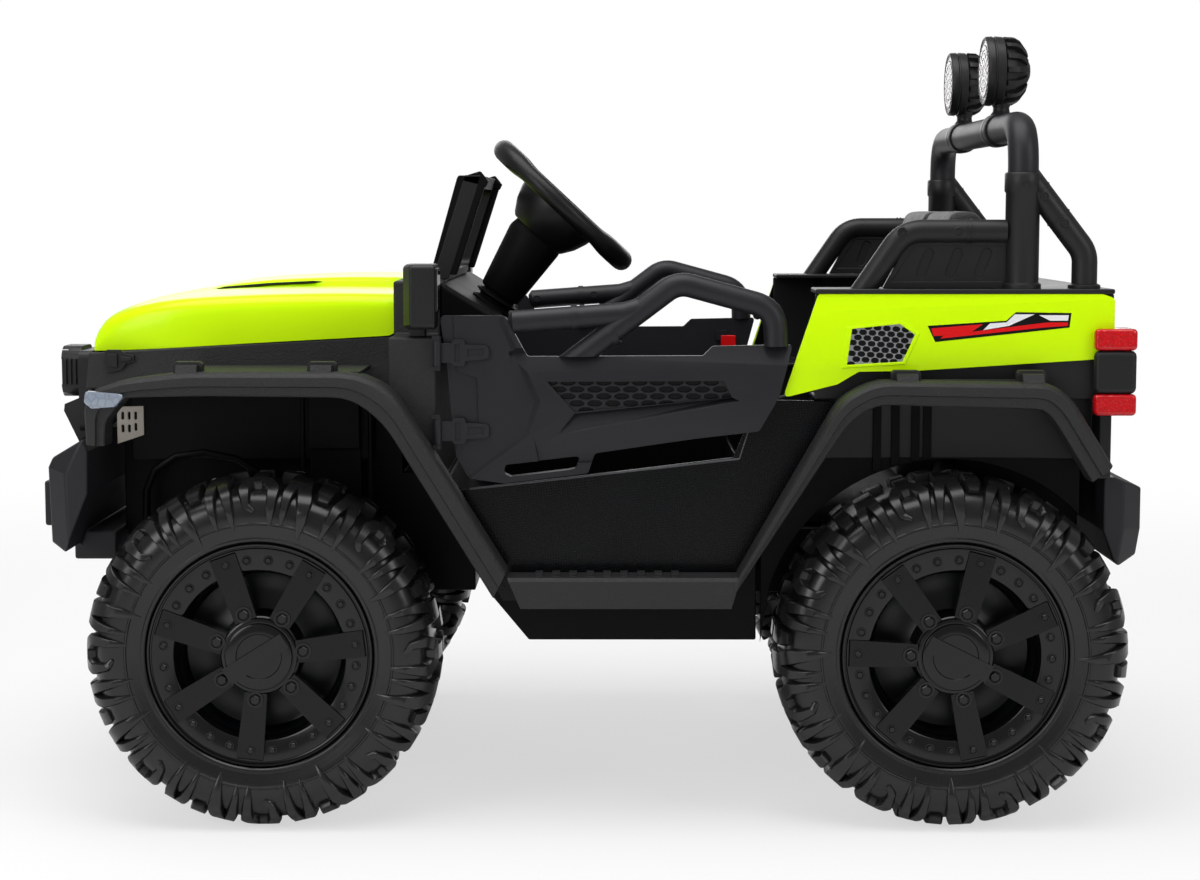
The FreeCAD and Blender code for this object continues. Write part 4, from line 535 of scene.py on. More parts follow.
finishTable = {
    moulded: {
        "lime": {"color": (0.63, 1.0, 0.0), "rough": (0.24, 0.34), "grain": 14, "bump": 0.03, "depth": 0.4,
                 "tint": 0.02, "coat": 0.1, "coatRough": 0.12, "specular": 0.12},
        "pebbled": {"color": (0.0105, 0.0108, 0.0115), "rough": (0.5, 0.62), "grain": 0.9, "pebble": 2.2,
                    "bump": 0.75, "depth": 0.6, "specular": 0.4},
        "satin": {"color": (0.0095, 0.0098, 0.0105), "rough": (0.36, 0.48), "grain": 0.8, "bump": 0.2,
                  "depth": 0.14, "specular": 0.3},
        "door": {"color": (0.0098, 0.0101, 0.0125), "rough": (0.4, 0.5), "grain": 0.7, "bump": 0.24,
                 "depth": 0.14, "specular": 0.33},
        "inner": {"color": (0.0022, 0.0024, 0.0026), "rough": (0.28, 0.45), "grain": 1.4, "bump": 0.12,
                  "depth": 0.15, "specular": 0.09},
        # the tyre's paler lug edges are partly wear, partly a painted highlight
        "tyre": {"color": (0.0052, 0.0052, 0.0057), "rough": (0.2, 0.32), "grain": 2.4, "bump": 0.08,
                 "depth": 0.2, "specular": 0.44, "wear": 0.35, "worn": (0.02, 0.02, 0.021)},
        "rim": {"color": (0.0022, 0.0022, 0.0026), "rough": (0.16, 0.28), "specular": 0.32, "coat": 0.12,
                "coatRough": 0.06},
        "cover": {"color": (0.003, 0.0031, 0.0035), "rough": (0.5, 0.6), "specular": 0.08},
        "grip": {"color": (0.0042, 0.0043, 0.0047), "rough": (0.34, 0.44), "grain": 0.8, "bump": 0.15,
                 "depth": 0.12, "specular": 0.26},
        "dish": {"color": (0.0042, 0.0062, 0.0068), "rough": (0.25, 0.4), "specular": 0.3},
        "battery": {"color": (0.02, 0.02, 0.022), "rough": (0.5, 0.6), "grain": 1, "bump": 0.2, "depth": 0.2},
        "red": {"color": (0.7, 0.004, 0.006), "rough": (0.25, 0.35), "grain": 4, "tint": 0.05, "specular": 0.25},
        "board": {"color": (0.34, 0.31, 0.27), "rough": (0.35, 0.5), "grain": 2, "bump": 0.1, "depth": 0.2,
                  "tint": 0.3},
        # a pale grey, not a part's own colour: the painted highlight along the side panels' rounded edge
        "lip": {"color": (0.06, 0.062, 0.066), "rough": (0.25, 0.35), "grain": 2},
        "white": {"color": (0.8, 0.8, 0.81), "rough": (0.3, 0.42), "grain": 5, "tint": 0.03},
        "black": {"color": (0.0025, 0.0025, 0.003), "rough": (0.2, 0.3), "grain": 5, "specular": 0.25},
    },
    woven: {
        "wovenFilm": {"color": (0.001, 0.0014, 0.0016), "threadColor": (0.0062, 0.0074, 0.008), "thread": 2.2,
                      "lean": 38, "rough": (0.14, 0.32), "specular": 0.14, "coat": 0.06, "bump": 0.3,
                      "depth": 0.18},
        "wovenRim": {"color": (0.0014, 0.0014, 0.0017), "threadColor": (0.0058, 0.006, 0.007), "thread": 2.1,
                     "lean": 30, "rough": (0.1, 0.24), "specular": 0.22, "coat": 0.1, "bump": 0.35,
                     "depth": 0.18},
    },
    lens: {
        "clearLens": {"color": (0.34, 0.4, 0.5), "joint": (0.2, 0.24, 0.3), "facet": 9, "depth": 0.8,
                      "clear": 0.2, "coat": 0.8},
        "whiteLens": {"color": (0.3, 0.27, 0.285), "joint": (0.12, 0.11, 0.12), "facet": 3.6, "depth": 1.5,
                      "clear": 0.05, "coat": 0.4, "specular": 0.4},
        "redLens": {"color": (0.72, 0.002, 0.008), "joint": (0.3, 0.0, 0.002), "facet": 4, "depth": 0.8,
                    "clear": 0.05, "coat": 0.35, "specular": 0.3},
    },
    metal: {
        "silver": {"color": (0.62, 0.63, 0.65), "rough": (0.12, 0.3), "brushed": 0.0},
        "mirror": {"color": (0.86, 0.87, 0.89), "rough": (0.02, 0.06), "brushed": 0.0},
        "steel": {"color": (0.3, 0.3, 0.32), "rough": (0.28, 0.45), "brushed": 0.9},
    },
    leather: {
        "seat": {"color": (0.006, 0.006, 0.007), "pale": (0.0095, 0.0095, 0.011), "grain": 2.0},
    },
}
finishes = {name: make(name, s) for make, rows in finishTable.items() for name, s in rows.items()}
print("finishes made:", len(finishes))


# Tyres: a smooth carcass with finger, fork and hook lugs over each shoulder

tyreShape = {
    "profile": [  # out from the middle of the tyre, and the radius
        (0, 201.5), (22, 201), (42, 199), (55, 195), (65, 188), (71, 179), (73.5, 167), (73, 155),
        (71, 146.5), (69.5, 140.5), (70.5, 138.8), (70, 136.4), (68, 134.4),
    ],
    "sideStep": [(73.2, 158.5), (74.4, 157.5), (74.4, 156), (73.0, 155)],
    "segments": 144, "units": 8, "treadTop": 210.0, "steps": 4, "flank": 1.6, "root": -2.5, "chamfer": 1.1,
    "rearTurn": 17,
}
# lugs as bent ridges: share of a unit round the wheel, distance over the profile, half width, height
lugRows = {
    "hook": [(-0.115, 104, 1.2, 0.8), (-0.115, 86, 4.4, 4.8), (-0.12, 60, 7.2, 8), (-0.05, 46, 8, 9),
             (0.06, 47, 8, 9), (0.105, 62, 6.6, 8), (0.09, 80, 4.2, 5.2), (0.03, 87, 2, 2.6)],
    "hook_crown": [(0.0, 3, 8.5, 9), (0.0, 40, 9.5, 9)],
    "fork_crown": [(0.30, 4, 11, 9), (0.30, 46, 12.5, 9)],
    "fork_left": [(0.285, 40, 7, 9), (0.245, 68, 6.2, 7.6), (0.235, 88, 3.8, 4.6), (0.232, 108, 0.9, 0.7)],
    "fork_right": [(0.33, 40, 7, 9), (0.375, 66, 6, 7.6), (0.385, 86, 3.6, 4.6), (0.387, 105, 0.9, 0.7)],
    "block": [(0.50, 14, 8.5, 9), (0.50, 48, 9.5, 9), (0.495, 62, 6.5, 6)],
    "chevron_crown": [(0.70, 4, 11, 9), (0.695, 46, 13.5, 9)],
    "chevron_tip": [(0.675, 42, 8.5, 9), (0.625, 70, 8.4, 8), (0.60, 94, 4.6, 4.6), (0.592, 114, 0.9, 0.6)],
    "chevron_arm": [(0.725, 42, 7, 9), (0.765, 66, 6, 7.6), (0.775, 86, 3.6, 4.4), (0.777, 102, 0.9, 0.7)],
}
tyreProfile = smoothed(tyreShape["profile"], 8)
tyreLengths = [0.0]
for start, end in zip(tyreProfile, tyreProfile[1:]):
    tyreLengths.append(tyreLengths[-1] + math.dist(start, end))
tyreHalf = (boxOf("tyre_front_left")[1] - boxOf("tyre_front_left")[0]).y / 2


def tyrePoint(distance, angle, rise):
    # a point over the profile, risen off it; negative distances are the wheel's inner half
    reach, sign = abs(distance), -1 if distance < 0 else 1
    i = max(k for k, length in enumerate(tyreLengths[:-1]) if length <= reach)
    span = tyreLengths[i + 1] - tyreLengths[i]
    t = min((reach - tyreLengths[i]) / span, 1)
    a, b = tyreProfile[i], tyreProfile[i + 1]
    dy, dr = b[0] - a[0], b[1] - a[1]
    y = a[0] + dy * t - dr / span * rise
    r = min(a[1] + dr * t + dy / span * rise, tyreShape["treadTop"])
    return r * math.sin(angle), sign * min(y, tyreHalf), r * math.cos(angle)


def addLug(bm, rows, turn, side):
    # a ridge along the rows: foot, wall and chamfered top
    s = tyreShape
    unit = 2 * math.pi / s["units"]
    points = []
    for a, b in zip(rows, rows[1:]):
        points += [[p + (q - p) * k / s["steps"] for p, q in zip(a, b)] for k in range(s["steps"])]
    points.append(rows[-1])
    rings = []
    for i, (share, distance, half, height) in enumerate(points):
        radius = tyrePoint(distance, 0, 0)[2]
        before, after = points[max(i - 1, 0)], points[min(i + 1, len(points) - 1)]
        aroundStep, overStep = (after[0] - before[0]) * unit * radius, after[1] - before[1]
        length = math.hypot(aroundStep, overStep)
        foot, wall, crest = half + s["flank"], half, half - s["chamfer"]
        section = ((-foot, s["root"]), (-wall, 0.8 * height), (-crest, height),
                   (crest, height), (wall, 0.8 * height), (foot, s["root"]))
        rings.append([
            tyrePoint(side * (distance + offset * aroundStep / length),
                      turn + side * (share * unit - offset * overStep / length / radius), rise)
            for offset, rise in section
        ])
    addRings(bm, rings)


def makeTyreMesh():
    s = tyreShape
    bm = bmesh.new()
    profile = [(-y, r) for y, r in reversed(tyreProfile)][:-1] + [(y, r) for y, r in tyreProfile]
    addLathe(bm, profile, (0, 0, 0), across, s["segments"])
    addLathe(bm, s["sideStep"], (0, 0, 0), across, s["segments"])
    for side, shift in ((1, 0), (-1, 0.5)):
        for index in range(s["units"]):
            for rows in lugRows.values():
                addLug(bm, rows, (index + shift) * 2 * math.pi / s["units"], side)
    return bm


# Rims: clamp ring with bolts, seven spokes over a deep dish, and a capped hub

rimShape = {
    "profile": [  # distance out from the tyre's middle, and the radius
        (-66, 133.2), (62, 133.6), (67.2, 133.2), (68.6, 131.8), (68.2, 129.6), (66.2, 128.8), (65.6, 127.4),
        (66.8, 126.6), (66.8, 103.4), (65.4, 101.5), (57, 99.5), (50, 99), (48, 97.5), (32, 95.5), (25, 92),
        (22, 84), (24, 62), (30, 50), (54, 47.5), (63, 46.5), (64.4, 45), (64.4, 0),
    ],
    "inside": [(-66, 133.2), (-66, 126), (16, 124), (16, 22), (-66, 20), (-66, 0)],
    "dishDepth": 49, "dishRadii": (50, 97),
    "cap": [(64, 44.5), (69.5, 44), (70.5, 42), (70.5, 40.6), (69.2, 40.2), (69.2, 39.2), (73, 38.4),
            (74, 36.5), (74, 27), (73, 26), (73, 0)],
    "spokes": 7,
    "spoke": [(-12, 43), (12, 43), (14, 100), (14.7, 124.5), (-14.7, 124.5), (-14, 100)],
    "spokeLayers": ((51, 1.0, -1.0), (67.2, 0.3, 0.3), (69, 1.2, -1.2)),
    "bar": [(-8.5, -35), (8.5, -35), (9.5, 43), (-9.5, 43)],
    "barLayers": ((70, 0.8, 0.8), (75.6, 0, 0), (76.8, 1.2, 1.2)),
    "nutCircle": 52, "nutFace": 65,
    "nutSeat": [(0, 0), (0, 10.5), (5.4, 9.6), (5.4, 7.4), (3.4, 7.0), (3.4, 0)],
    "bolts": 28, "boltCircle": 113.5, "boltFaces": (68.6, 66.4, 66.4, 66.4),
    "boltSeat": [(0, 0), (0, 6.0), (1.6, 5.4), (1.6, 4.6), (0.6, 4.3), (0.6, 0)],
    "phase": {"front": -19.7, "rear": 14.4},  # degrees clockwise from the top, seen from the left side
    "barSpoke": {"front": 5, "rear": 2},
}


def aroundAxle(u, v, degrees, y):
    # a point v out from the axle and u to its side, turned clockwise from the top
    angle = math.radians(degrees)
    return -(v * math.sin(angle) + u * math.cos(angle)), y, v * math.cos(angle) - u * math.sin(angle)


def addRaised(bm, outline, layers, degrees, finish=0):
    # an outline beside the axle, wider and longer by so much in each layer
    middle = middleOf(outline).y
    rows = []
    for y, wider, longer in layers:
        rows.append([
            aroundAxle(u + math.copysign(wider, u), v + (longer if v > middle else -longer), degrees, y)
            for u, v in outline
        ])
    addRings(bm, rows, finish=finish)


def makeRimMesh(end):
    s = rimShape
    phase = s["phase"][end]
    bm = bmesh.new()
    for face in addLathe(bm, s["profile"], (0, 0, 0), across, 112):
        middle = face.calc_center_median() / mm
        if middle.y < s["dishDepth"] and s["dishRadii"][0] < math.hypot(middle.x, middle.z) < s["dishRadii"][1]:
            face.material_index = 1
    addLathe(bm, s["inside"], (0, 0, 0), across, 64, 1)
    for index in range(s["spokes"]):
        degrees = phase + index * 360 / s["spokes"]
        addRaised(bm, s["spoke"], s["spokeLayers"], degrees, 2)
        addLathe(bm, s["nutSeat"], aroundAxle(0, s["nutCircle"], degrees, s["nutFace"]), across, 24)
        addDisc(bm, aroundAxle(0, s["nutCircle"], degrees, s["nutFace"] + 3), across, 6.2, 5.4, 6, 1.0)
    for index in range(s["bolts"]):
        face = s["boltFaces"][index % 4]
        centre = aroundAxle(0, s["boltCircle"], phase + index * 360 / s["bolts"], face)
        addLathe(bm, s["boltSeat"], centre, across, 16)
        addDisc(bm, centre, across, 3.9, 3.8, 6, 0.8, index)
    # hub cap with its grip bar, which runs out over one spoke
    addLathe(bm, s["cap"], (0, 0, 0), across, 64)
    addRaised(bm, s["bar"], s["barLayers"], phase + s["barSpoke"][end] * 360 / s["spokes"])
    return bm


def makeWheels():
    tyreSource = makeTyreMesh()
    for end in ("front", "rear"):
        rimSource = makeRimMesh(end)
        turn = Matrix.Rotation(math.radians(tyreShape["rearTurn"] if end == "rear" else 0), 4, "Y")
        kinds = (("tyre", tyreSource, turn, "tyre"), ("rim", rimSource, Matrix(), ["rim", "dish", "wovenRim"]))
        for side, sign in (("left", 1), ("right", -1)):
            low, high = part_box(f"tyre_{end}_{side}")
            place = Matrix.Translation((low + high) / 2) @ Matrix.Diagonal((1, sign, 1, 1))
            for kind, source, turn, finish in kinds:
                bm = source.copy()
                bm.transform(place @ turn)
                makePiece(f"{kind}_{end}_{side}_look", bm, finish, f"{kind}_{end}_{side}", True, angle=38)
        rimSource.free()
    tyreSource.free()


makeWheels()
print("wheels made")


# Doors: a faceted panel, a honeycomb inset, strap hinges and the tube rails

doorShape = {
    "outline": [
        (167, 597), (90, 597), (64, 549), (-142, 550), (-153, 561), (-247, 563), (-231, 502), (-208, 461),
        (-131, 452), (-15, 435), (-7, 412), (92, 400), (134, 406), (150, 435), (159, 543),
    ],
    "rounding": [6, 9, 5, 5, 5, 4, 5, 6, 7, 6, 5, 7, 8, 6, 0],
    "window": [(90, 422), (2, 432), (7, 418), (16, 416), (84, 408), (92, 412)],
    "inset": [(41, 520), (-166, 521), (-176, 501.5), (9, 484)],
    "insetBack": [(39, 518.5), (-164, 519.5), (-173.5, 501.5), (10, 484)],
    "thickness": 17, "insetDepth": 8, "reach": 30,
    "cell": 21, "rowHeight": 8.2, "wall": 3.6,
    "facets": [  # cut off the face: the strip along the top, the wedge under the inset, the lower edge
        [(78, 0, 531), (-262, 0, 539), (86, -10, 552), (-262, -12, 566),
         (78, 30, 531), (-262, 30, 539), (86, 30, 580), (-262, 30, 590)],
        [(29, 0, 457), (-186, 0, 497), (9, -7.6, 482), (-176, -7.6, 501),
         (29, 30, 457), (-186, 30, 497), (9, 30, 484), (-176, 30, 502)],
        [(58, 0, 458), (-240, 0, 484), (52, -5, 436), (-215, -7, 452), (50, -6, 420), (-215, -9, 440),
         (58, 30, 458), (-240, 30, 484), (50, 30, 420), (-215, 30, 440)],
    ],
    "folds": [  # outline, depth and slope of the steps toward the hinge
        ([(95, 640), (90.5, 590), (48.5, 497), (62, 457), (134, 403), (200, 380), (200, 640)], 5.5, 7),
        ([(152, 640), (146, 532), (122, 524), (120, 468), (146, 462), (150, 380), (200, 380), (200, 640)],
         8.5, 2),
    ],
    "foldEnd": 201,
    "rail": 14, "bend": 34, "railStart": 7.5,
    "mainRail": [(24, 534), (-112, 636), (-226, 605), (-228, 540)],
    "frontRail": [(86, 589), (-50, 599), (-76, 607)],
    "panelTops": ((-148, 63, 549.4), (-260, -149, 561)),  # the rail is cut off flush with these
    "collar": [(-1.2, -1), (-1.2, 0.7), (0, 0.9), (6, 0.6), (6, -1)],
    "collars": ((11, 594.5, -0.997, 0.075), (-33, 574.5, -0.83, 0.56)),
    "screws": ((74, 591), (-10, 597), (-206, 597)),
    "strapLevels": (446, 538),
    "strap": [(150, 0), (138, 0), (136, 6), (112, 8), (109, 11), (109, 21), (112, 24), (136, 25), (138, 31),
              (150, 31), (153, 27), (153, 4)],
    "strapSlots": (([(149, 5), (143, 5), (143, 26), (149, 26)], 2.2),
                   ([(134, 11), (115, 12.5), (115, 19.5), (134, 20.5)], 2)),
}


def makeDoor(side):
    s = doorShape
    face = joints["door_left"]["pos_m"][1] / mm
    inner, out = face - s["thickness"], face + s["reach"]
    middle = (inner + face) / 2
    panel = prism(roundedCorners(s["outline"], s["rounding"], 3), "y", inner, face)
    cutter = prism(roundedCorners(s["window"], 4, 3), "y", inner - 5, face + 5)
    addPrism(cutter, s["inset"], "y", face - s["insetDepth"], face + 5)
    panel = carveHulls(carve(panel, cutter), s["facets"], face)
    for fold, deep, slope in s["folds"]:
        cutter = bmesh.new()
        layers = ((face - deep, slope), (face, 0), (out, 0))
        addRings(cutter, [[(min(x + lean, s["foldEnd"]), y, z) for x, z in fold] for y, lean in layers])
        panel = carve(panel, cutter)
    # rails, with a joint ring where one tube slides into the next
    rails, cutter = bmesh.new(), bmesh.new()
    addRail(rails, [(x, middle, z) for x, z in s["mainRail"]], s["rail"], s["bend"])
    for back, front, top in s["panelTops"]:
        addBlock(cutter, (back, inner - 30, 480), (front, out, top))
    rails = carve(rails, cutter)
    frontRail = [(x, middle, z) for x, z in s["frontRail"]]
    addRail(rails, frontRail, s["rail"] * 0.97, s["bend"], narrow=s["railStart"])
    for x, z, headX, headZ in s["collars"]:
        addCollar(rails, s["collar"], s["rail"], (x, middle, z), (headX, 0, headZ), 28)
    for x, z in s["screws"]:
        addScrew(rails, (x, middle - s["rail"] + 0.6, z), (0, -1, 0), 5)
    # the catch on the inside: a red button below its housing
    catch = bmesh.new()
    addBlock(catch, (-219, inner - 6, 520), (-197, inner + 1, 537))
    addBlock(panel, (-205.6, inner - 5, 530), (-189.6, inner + 1, 544))
    # strap hinges: a slotted base with a tapered tongue
    straps = bmesh.new()
    for level in s["strapLevels"]:
        plate, cutter = prism([(x, level + z) for x, z in s["strap"]], "y", face - 6.8, face - 0.4), bmesh.new()
        for slot, deep in s["strapSlots"]:
            addPrism(cutter, [(x, level + z) for x, z in slot], "y", face - deep, out)
        joined(straps, carve(plate, cutter))
        addTube(straps, [(169.5, face, level), (169.5, face, level + 30)], 5, 24)
        addBlock(straps, (150, face - 5.5, level + 4), (169.5, face - 0.6, level + 27))
    floor = face - s["insetDepth"]
    comb = honeycomb(s["inset"], floor + 0.6, face - 3.4, s["cell"], s["rowHeight"], s["wall"])
    back = prism(s["insetBack"], "y", floor - 0.2, floor + 0.5)
    parts = [  # piece, form, finish, bevel and sharp angle
        ("panel", panel, "door", 1.1, 28), ("rails", rails, "door", 0, 40), ("straps", straps, "door", 0.6, 30),
        ("comb", comb, "door", 0.4, 30), ("dark", back, "black", 0, 30), ("catch", catch, "red", 1.2, 30),
    ]
    home = f"door_{side}"
    for part, bm, finish, bevel, angle in parts:
        if side == "right":
            bm.transform(Matrix.Diagonal((1, -1, 1, 1)))
            bmesh.ops.reverse_faces(bm, faces=bm.faces[:])
        makePiece(f"{home}_{part}", bm, finish, home, part == "panel", bevel, 2, angle, lifted=True)


for side in ("left", "right"):
    makeDoor(side)
print("doors made")


# Roll bar, armrests and the lamps on top

hoopShape = {
    "post": 20, "hoop": 18, "brace": 15, "collar": 21, "arm": 14, "sleeveTop": 136, "hoopRise": 191, "bend": 50,
    "braceReach": 74, "braceKnee": 42, "braceTop": 138, "lampOffset": 148,
    "armRise": 67, "armLength": 172, "armLean": 33, "panel": 8,
    "braceRing": [(0, -2), (0, 0.9), (1.6, 0.9), (1.6, -2)],
    "armRing": [(0, -1), (0, 0.8), (1.4, 0.8), (1.4, -1)],
    "clamp": [(-20, -4), (-20, -1), (-17, 0), (-2, 0), (-1.4, -1.2), (1.4, -1.2), (2, 0), (17, 0), (20, -1),
              (20, -4)],
}


def makeHoop():
    s = hoopShape
    low, high = boxOf("roll_bar")
    deck, y, x = low.z, high.y - s["post"], high.x - s["collar"]
    top = deck + s["hoopRise"]
    hoop, posts = bmesh.new(), bmesh.new()
    corners = [(x, -y, deck + 70), (x, -y, top), (x, y, top), (x, y, deck + 70)]
    addRail(hoop, corners, s["hoop"], s["bend"], 26)
    makePiece("roll_hoop", hoop, "door", "roll_bar", True, angle=40)
    # posts with a collar where the hoop slides in
    post, sleeveTop = s["post"], s["sleeveTop"]
    sleeve = [(0, 0), (0, post + 3), (5, post + 3), (7, post), (sleeveTop - 24, post),
              (sleeveTop - 22, post + 1.6), (sleeveTop - 2, post + 1.6), (sleeveTop, post), (sleeveTop, 0)]
    addLathe(posts, sleeve, (x, y, deck), up, 36)
    addScrew(posts, (x, y + post + 1.3, deck + sleeveTop - 12), across, 4)
    foot = Vector((x - s["braceReach"], y, deck))
    start, knee = Vector((x, y, deck + s["braceTop"])), foot + up * s["braceKnee"]
    addRail(posts, [start, knee, foot], s["brace"], 34, 22)
    head = (knee - start).normalized()
    for distance in (26, 62):
        place = start.lerp(knee, distance / 110)
        addCollar(posts, s["braceRing"], s["brace"], place, head, 26)
        addScrew(posts, place + across * (s["brace"] - 0.3) + head * 9, across, 5.2)
    brace = s["brace"]
    addLathe(posts, [(0, 0), (0, brace + 4), (4, brace + 4), (6, brace), (6, 0)], foot, up, 30)
    # clamps that carry the lamps
    addCollar(posts, s["clamp"], s["collar"], (x, s["lampOffset"], top), across, 32)
    makePiece("roll_posts", posts, "satin", "roll_bar", bevel=0.5, angle=40, bothSides=True)

    arms, height, arm = bmesh.new(), deck + s["armRise"], s["arm"]
    knee = Vector((x + s["armLength"] - s["armLean"], y, height))
    end = Vector((x + post - 1, y, height))
    addRail(arms, [(x + s["armLength"] + arm + 5, y, deck - 9), knee, end], arm, 42, 22)
    for share in (0.62, 0.66):
        addCollar(arms, s["armRing"], arm, knee.lerp(end, share), along, 26)
    for shift in (4, -62):
        addScrew(arms, (knee.x + shift, y + arm - 0.3, height), across, 5.2)
    makePiece("armrest_rails", arms, "satin", "armrests", True, angle=40, bothSides=True)
    # a panel under each rail, with a shallow field and three slanted pockets on both faces
    front, back, half = x + s["armLength"] - 8, x + post - 2, s["panel"] / 2
    outline = [(front, deck + 0.2), (front - s["armLean"], height - 6), (back, height - 6), (back, deck + 0.2)]
    field = [(front - 10, deck + 8), (front - s["armLean"] - 4, height - arm - 3), (back + 6, height - arm - 3),
             (back + 6, deck + 8)]
    level = (deck + height - arm) / 2 + 3
    cuts = [(field, 1.2, 20)] + [(pill(back + 28 + i * 34, level, 38, 13, 110), 3.7, 20.5) for i in range(3)]
    cutter = bmesh.new()
    for shape, deep, reach in cuts:
        addPrism(cutter, shape, "y", y + half - deep, y + reach)
        addPrism(cutter, shape, "y", y - reach, y - half + deep)
    plate = carve(prism(outline, "y", y - half, y + half), cutter)
    makePiece("armrest_panels", plate, "satin", "armrests", bevel=1.2, bothSides=True)


spotShape = {
    "radius": 43, "fins": 15, "finHalf": 3.4, "stalkInset": 11,
    "bowl": [(-13, 0), (-13, 38), (0, 39), (0, 40.8), (-2, 42.6), (-9, 43), (-10, 41.8), (-11.5, 41.8),
             (-12.5, 43), (-22, 42.4), (-24, 39), (-34, 37), (-42, 31), (-48, 25), (-54, 15), (-57, 9), (-57, 0)],
    "fin": [(-23, 34), (-24.5, 42.6), (-36, 42), (-43, 38), (-52, 26), (-50, 15)],
    "glass": [(-12, 0), (-12, 38.4), (-0.4, 38.6), (-1.6, 37.8), (-0.6, 29.6), (-0.4, 20.35), (-0.4, 11.1),
              (-0.4, 0)],
    "facetReach": 37, "facetRings": ((0.28, 8, 0), (0.52, 14, 0.5), (0.78, 22, 0)),  # share, count and turn
}


def makeSpots():
    s = spotShape
    low, high = boxOf("spot_lenses")
    centre = Vector((high.x, hoopShape["lampOffset"], (low.z + high.z) / 2))
    case = bmesh.new()
    addLathe(case, s["bowl"], centre, along, 60)
    # cooling fins round the back
    for angle in circle(s["fins"]):
        out = across * math.cos(angle) + up * math.sin(angle)
        side = out.cross(along)
        addRings(case, [[centre + along * a + out * b + side * shift for a, b in s["fin"]]
                        for shift in (-s["finHalf"], s["finHalf"])])
    deck = boxOf("roll_bar")[0].z + hoopShape["hoopRise"]
    length = centre.z - s["radius"] + 4 - deck
    stalk = [(0, 0), (0, 13), (4, 13), (7, 10.5), (length - 22, 10), (length - 16, 13), (length, 14),
             (length, 0)]
    addLathe(case, stalk, (boxOf("spot_lamps")[1].x - s["stalkInset"], centre.y, deck + 16), up, 28)
    makePiece("spot_cases", case, "satin", "spot_lamps", True, 0.4, 1, 40, bothSides=True)
    # a crowned lens over a fan of facets
    glass, reach = bmesh.new(), s["facetReach"]
    addLathe(glass, s["glass"], centre, along, 48)
    for ring, count, turn in s["facetRings"]:
        for index in range(count):
            angle = 2 * math.pi * (index + turn) / count
            out = across * math.cos(angle) + up * math.sin(angle)
            place = centre + out * reach * ring - along * 1.6
            addDisc(glass, place, along, reach * 0.115, 1.6, 6, 0.5, angle)
    makePiece("spot_glasses", glass, "whiteLens", "spot_lenses", True, angle=12, bothSides=True)


makeHoop()
makeSpots()
print("hoop, armrests and lamps made")


# Steering wheel and its column

wheelShape = {
    "ring": 100, "grip": 11.5, "ringPoints": 72, "gripPoints": 18,
    "hub": [(-50, 0), (-50, 36), (-46, 40), (-32, 49), (-16, 55), (-4, 57), (1, 56), (3, 52), (2, 49), (2, 46),
            (6, 42), (8.5, 34), (9, 0)],
    "seam": [(-1, 9), (-1, 12.4), (1, 12.4), (1, 9)], "seamAngles": (0.8, 2.34, 3.94, 5.48),
    "spokes": 3, "spokeRows": ((30, 15, -1), (48, 12, -1.5), (70, 10, -3), (92, 12, -2), (98, 13, 0)),
    "coverStart": 39.56, "coverSlope": 57,
    "cover": [(-6, 0), (-6, 29), (0, 31), (14, 35.5), (18, 36), (22, 35.6), (96, 27), (98, 25), (99, 22)],
    "folds": (99, 109, 119, 129), "fold": ((1, 22), (4.4, 29), (6, 29), (9, 22)),
    "coverEnd": [(138, 21), (138, 0)],
}


def makeSteering():
    s = wheelShape
    centre = Vector(joints["steering"]["pos_m"]) / mm
    axis = Vector(joints["steering"]["axis"]).normalized()
    front = axis.cross(across).normalized()
    wheel = bmesh.new()
    rings = []
    for angle in circle(s["ringPoints"]):
        out = front * math.cos(angle) + across * math.sin(angle)
        # the grips at the top and the bottom are thicker
        r = s["grip"] * (0.92 + 0.24 / (1 + math.exp(-(abs(math.cos(angle)) - 0.66) * 26)))
        rings.append([centre + out * (s["ring"] + r * math.cos(t)) + axis * (r * math.sin(t))
                      for t in circle(s["gripPoints"])])
    addRings(wheel, rings, closedRow=True)
    addLathe(wheel, s["hub"], centre, axis, 48)
    # rings where the grips' halves meet
    for angle in s["seamAngles"]:
        place = centre + (front * math.cos(angle) + across * math.sin(angle)) * s["ring"]
        addLathe(wheel, s["seam"], place, across * math.cos(angle) - front * math.sin(angle), 24, closed=True)
    for angle in circle(s["spokes"]):
        out = front * math.cos(angle) + across * math.sin(angle)
        wide = axis.cross(out)
        rows = []
        for reach, half, rise in s["spokeRows"]:
            section = ((-half, -4), (3 - half, -6.5), (half - 3, -6.5), (half, -4), (half, 1), (half - 3, 4),
                       (3 - half, 4), (-half, 1))
            rows.append([centre + out * reach + wide * u + axis * (w + rise) for u, w in section])
        addRings(wheel, rows)
    makePiece("steering_grip", wheel, "grip", "steering_wheel", True, 0.8, 2, 40)

    low, high = boxOf("steering_column")
    slope = math.radians(s["coverSlope"])
    down = Vector((math.cos(slope), 0, -math.sin(slope)))
    top = centre - axis * s["coverStart"]
    folds = [(start + a, b) for start in s["folds"] for a, b in s["fold"]]
    cover, keep = bmesh.new(), bmesh.new()
    addLathe(cover, s["cover"] + folds + s["coverEnd"], top, down, 44)
    addBlock(keep, (low.x - 40, low.y - 8, low.z), (high.x + 12, high.y + 8, high.z + 10))
    cover = carve(cover, keep, "INTERSECT")
    addScrew(cover, top + down * 78 + Vector((-0.2, 27.5, 0)), (0, 1, -0.1), 4)
    makePiece("steering_cover", cover, "cover", "steering_column", True, 0.4, 2, 40)


makeSteering()
print("steering made")


# Bonnet: one smooth skin with a raised scoop

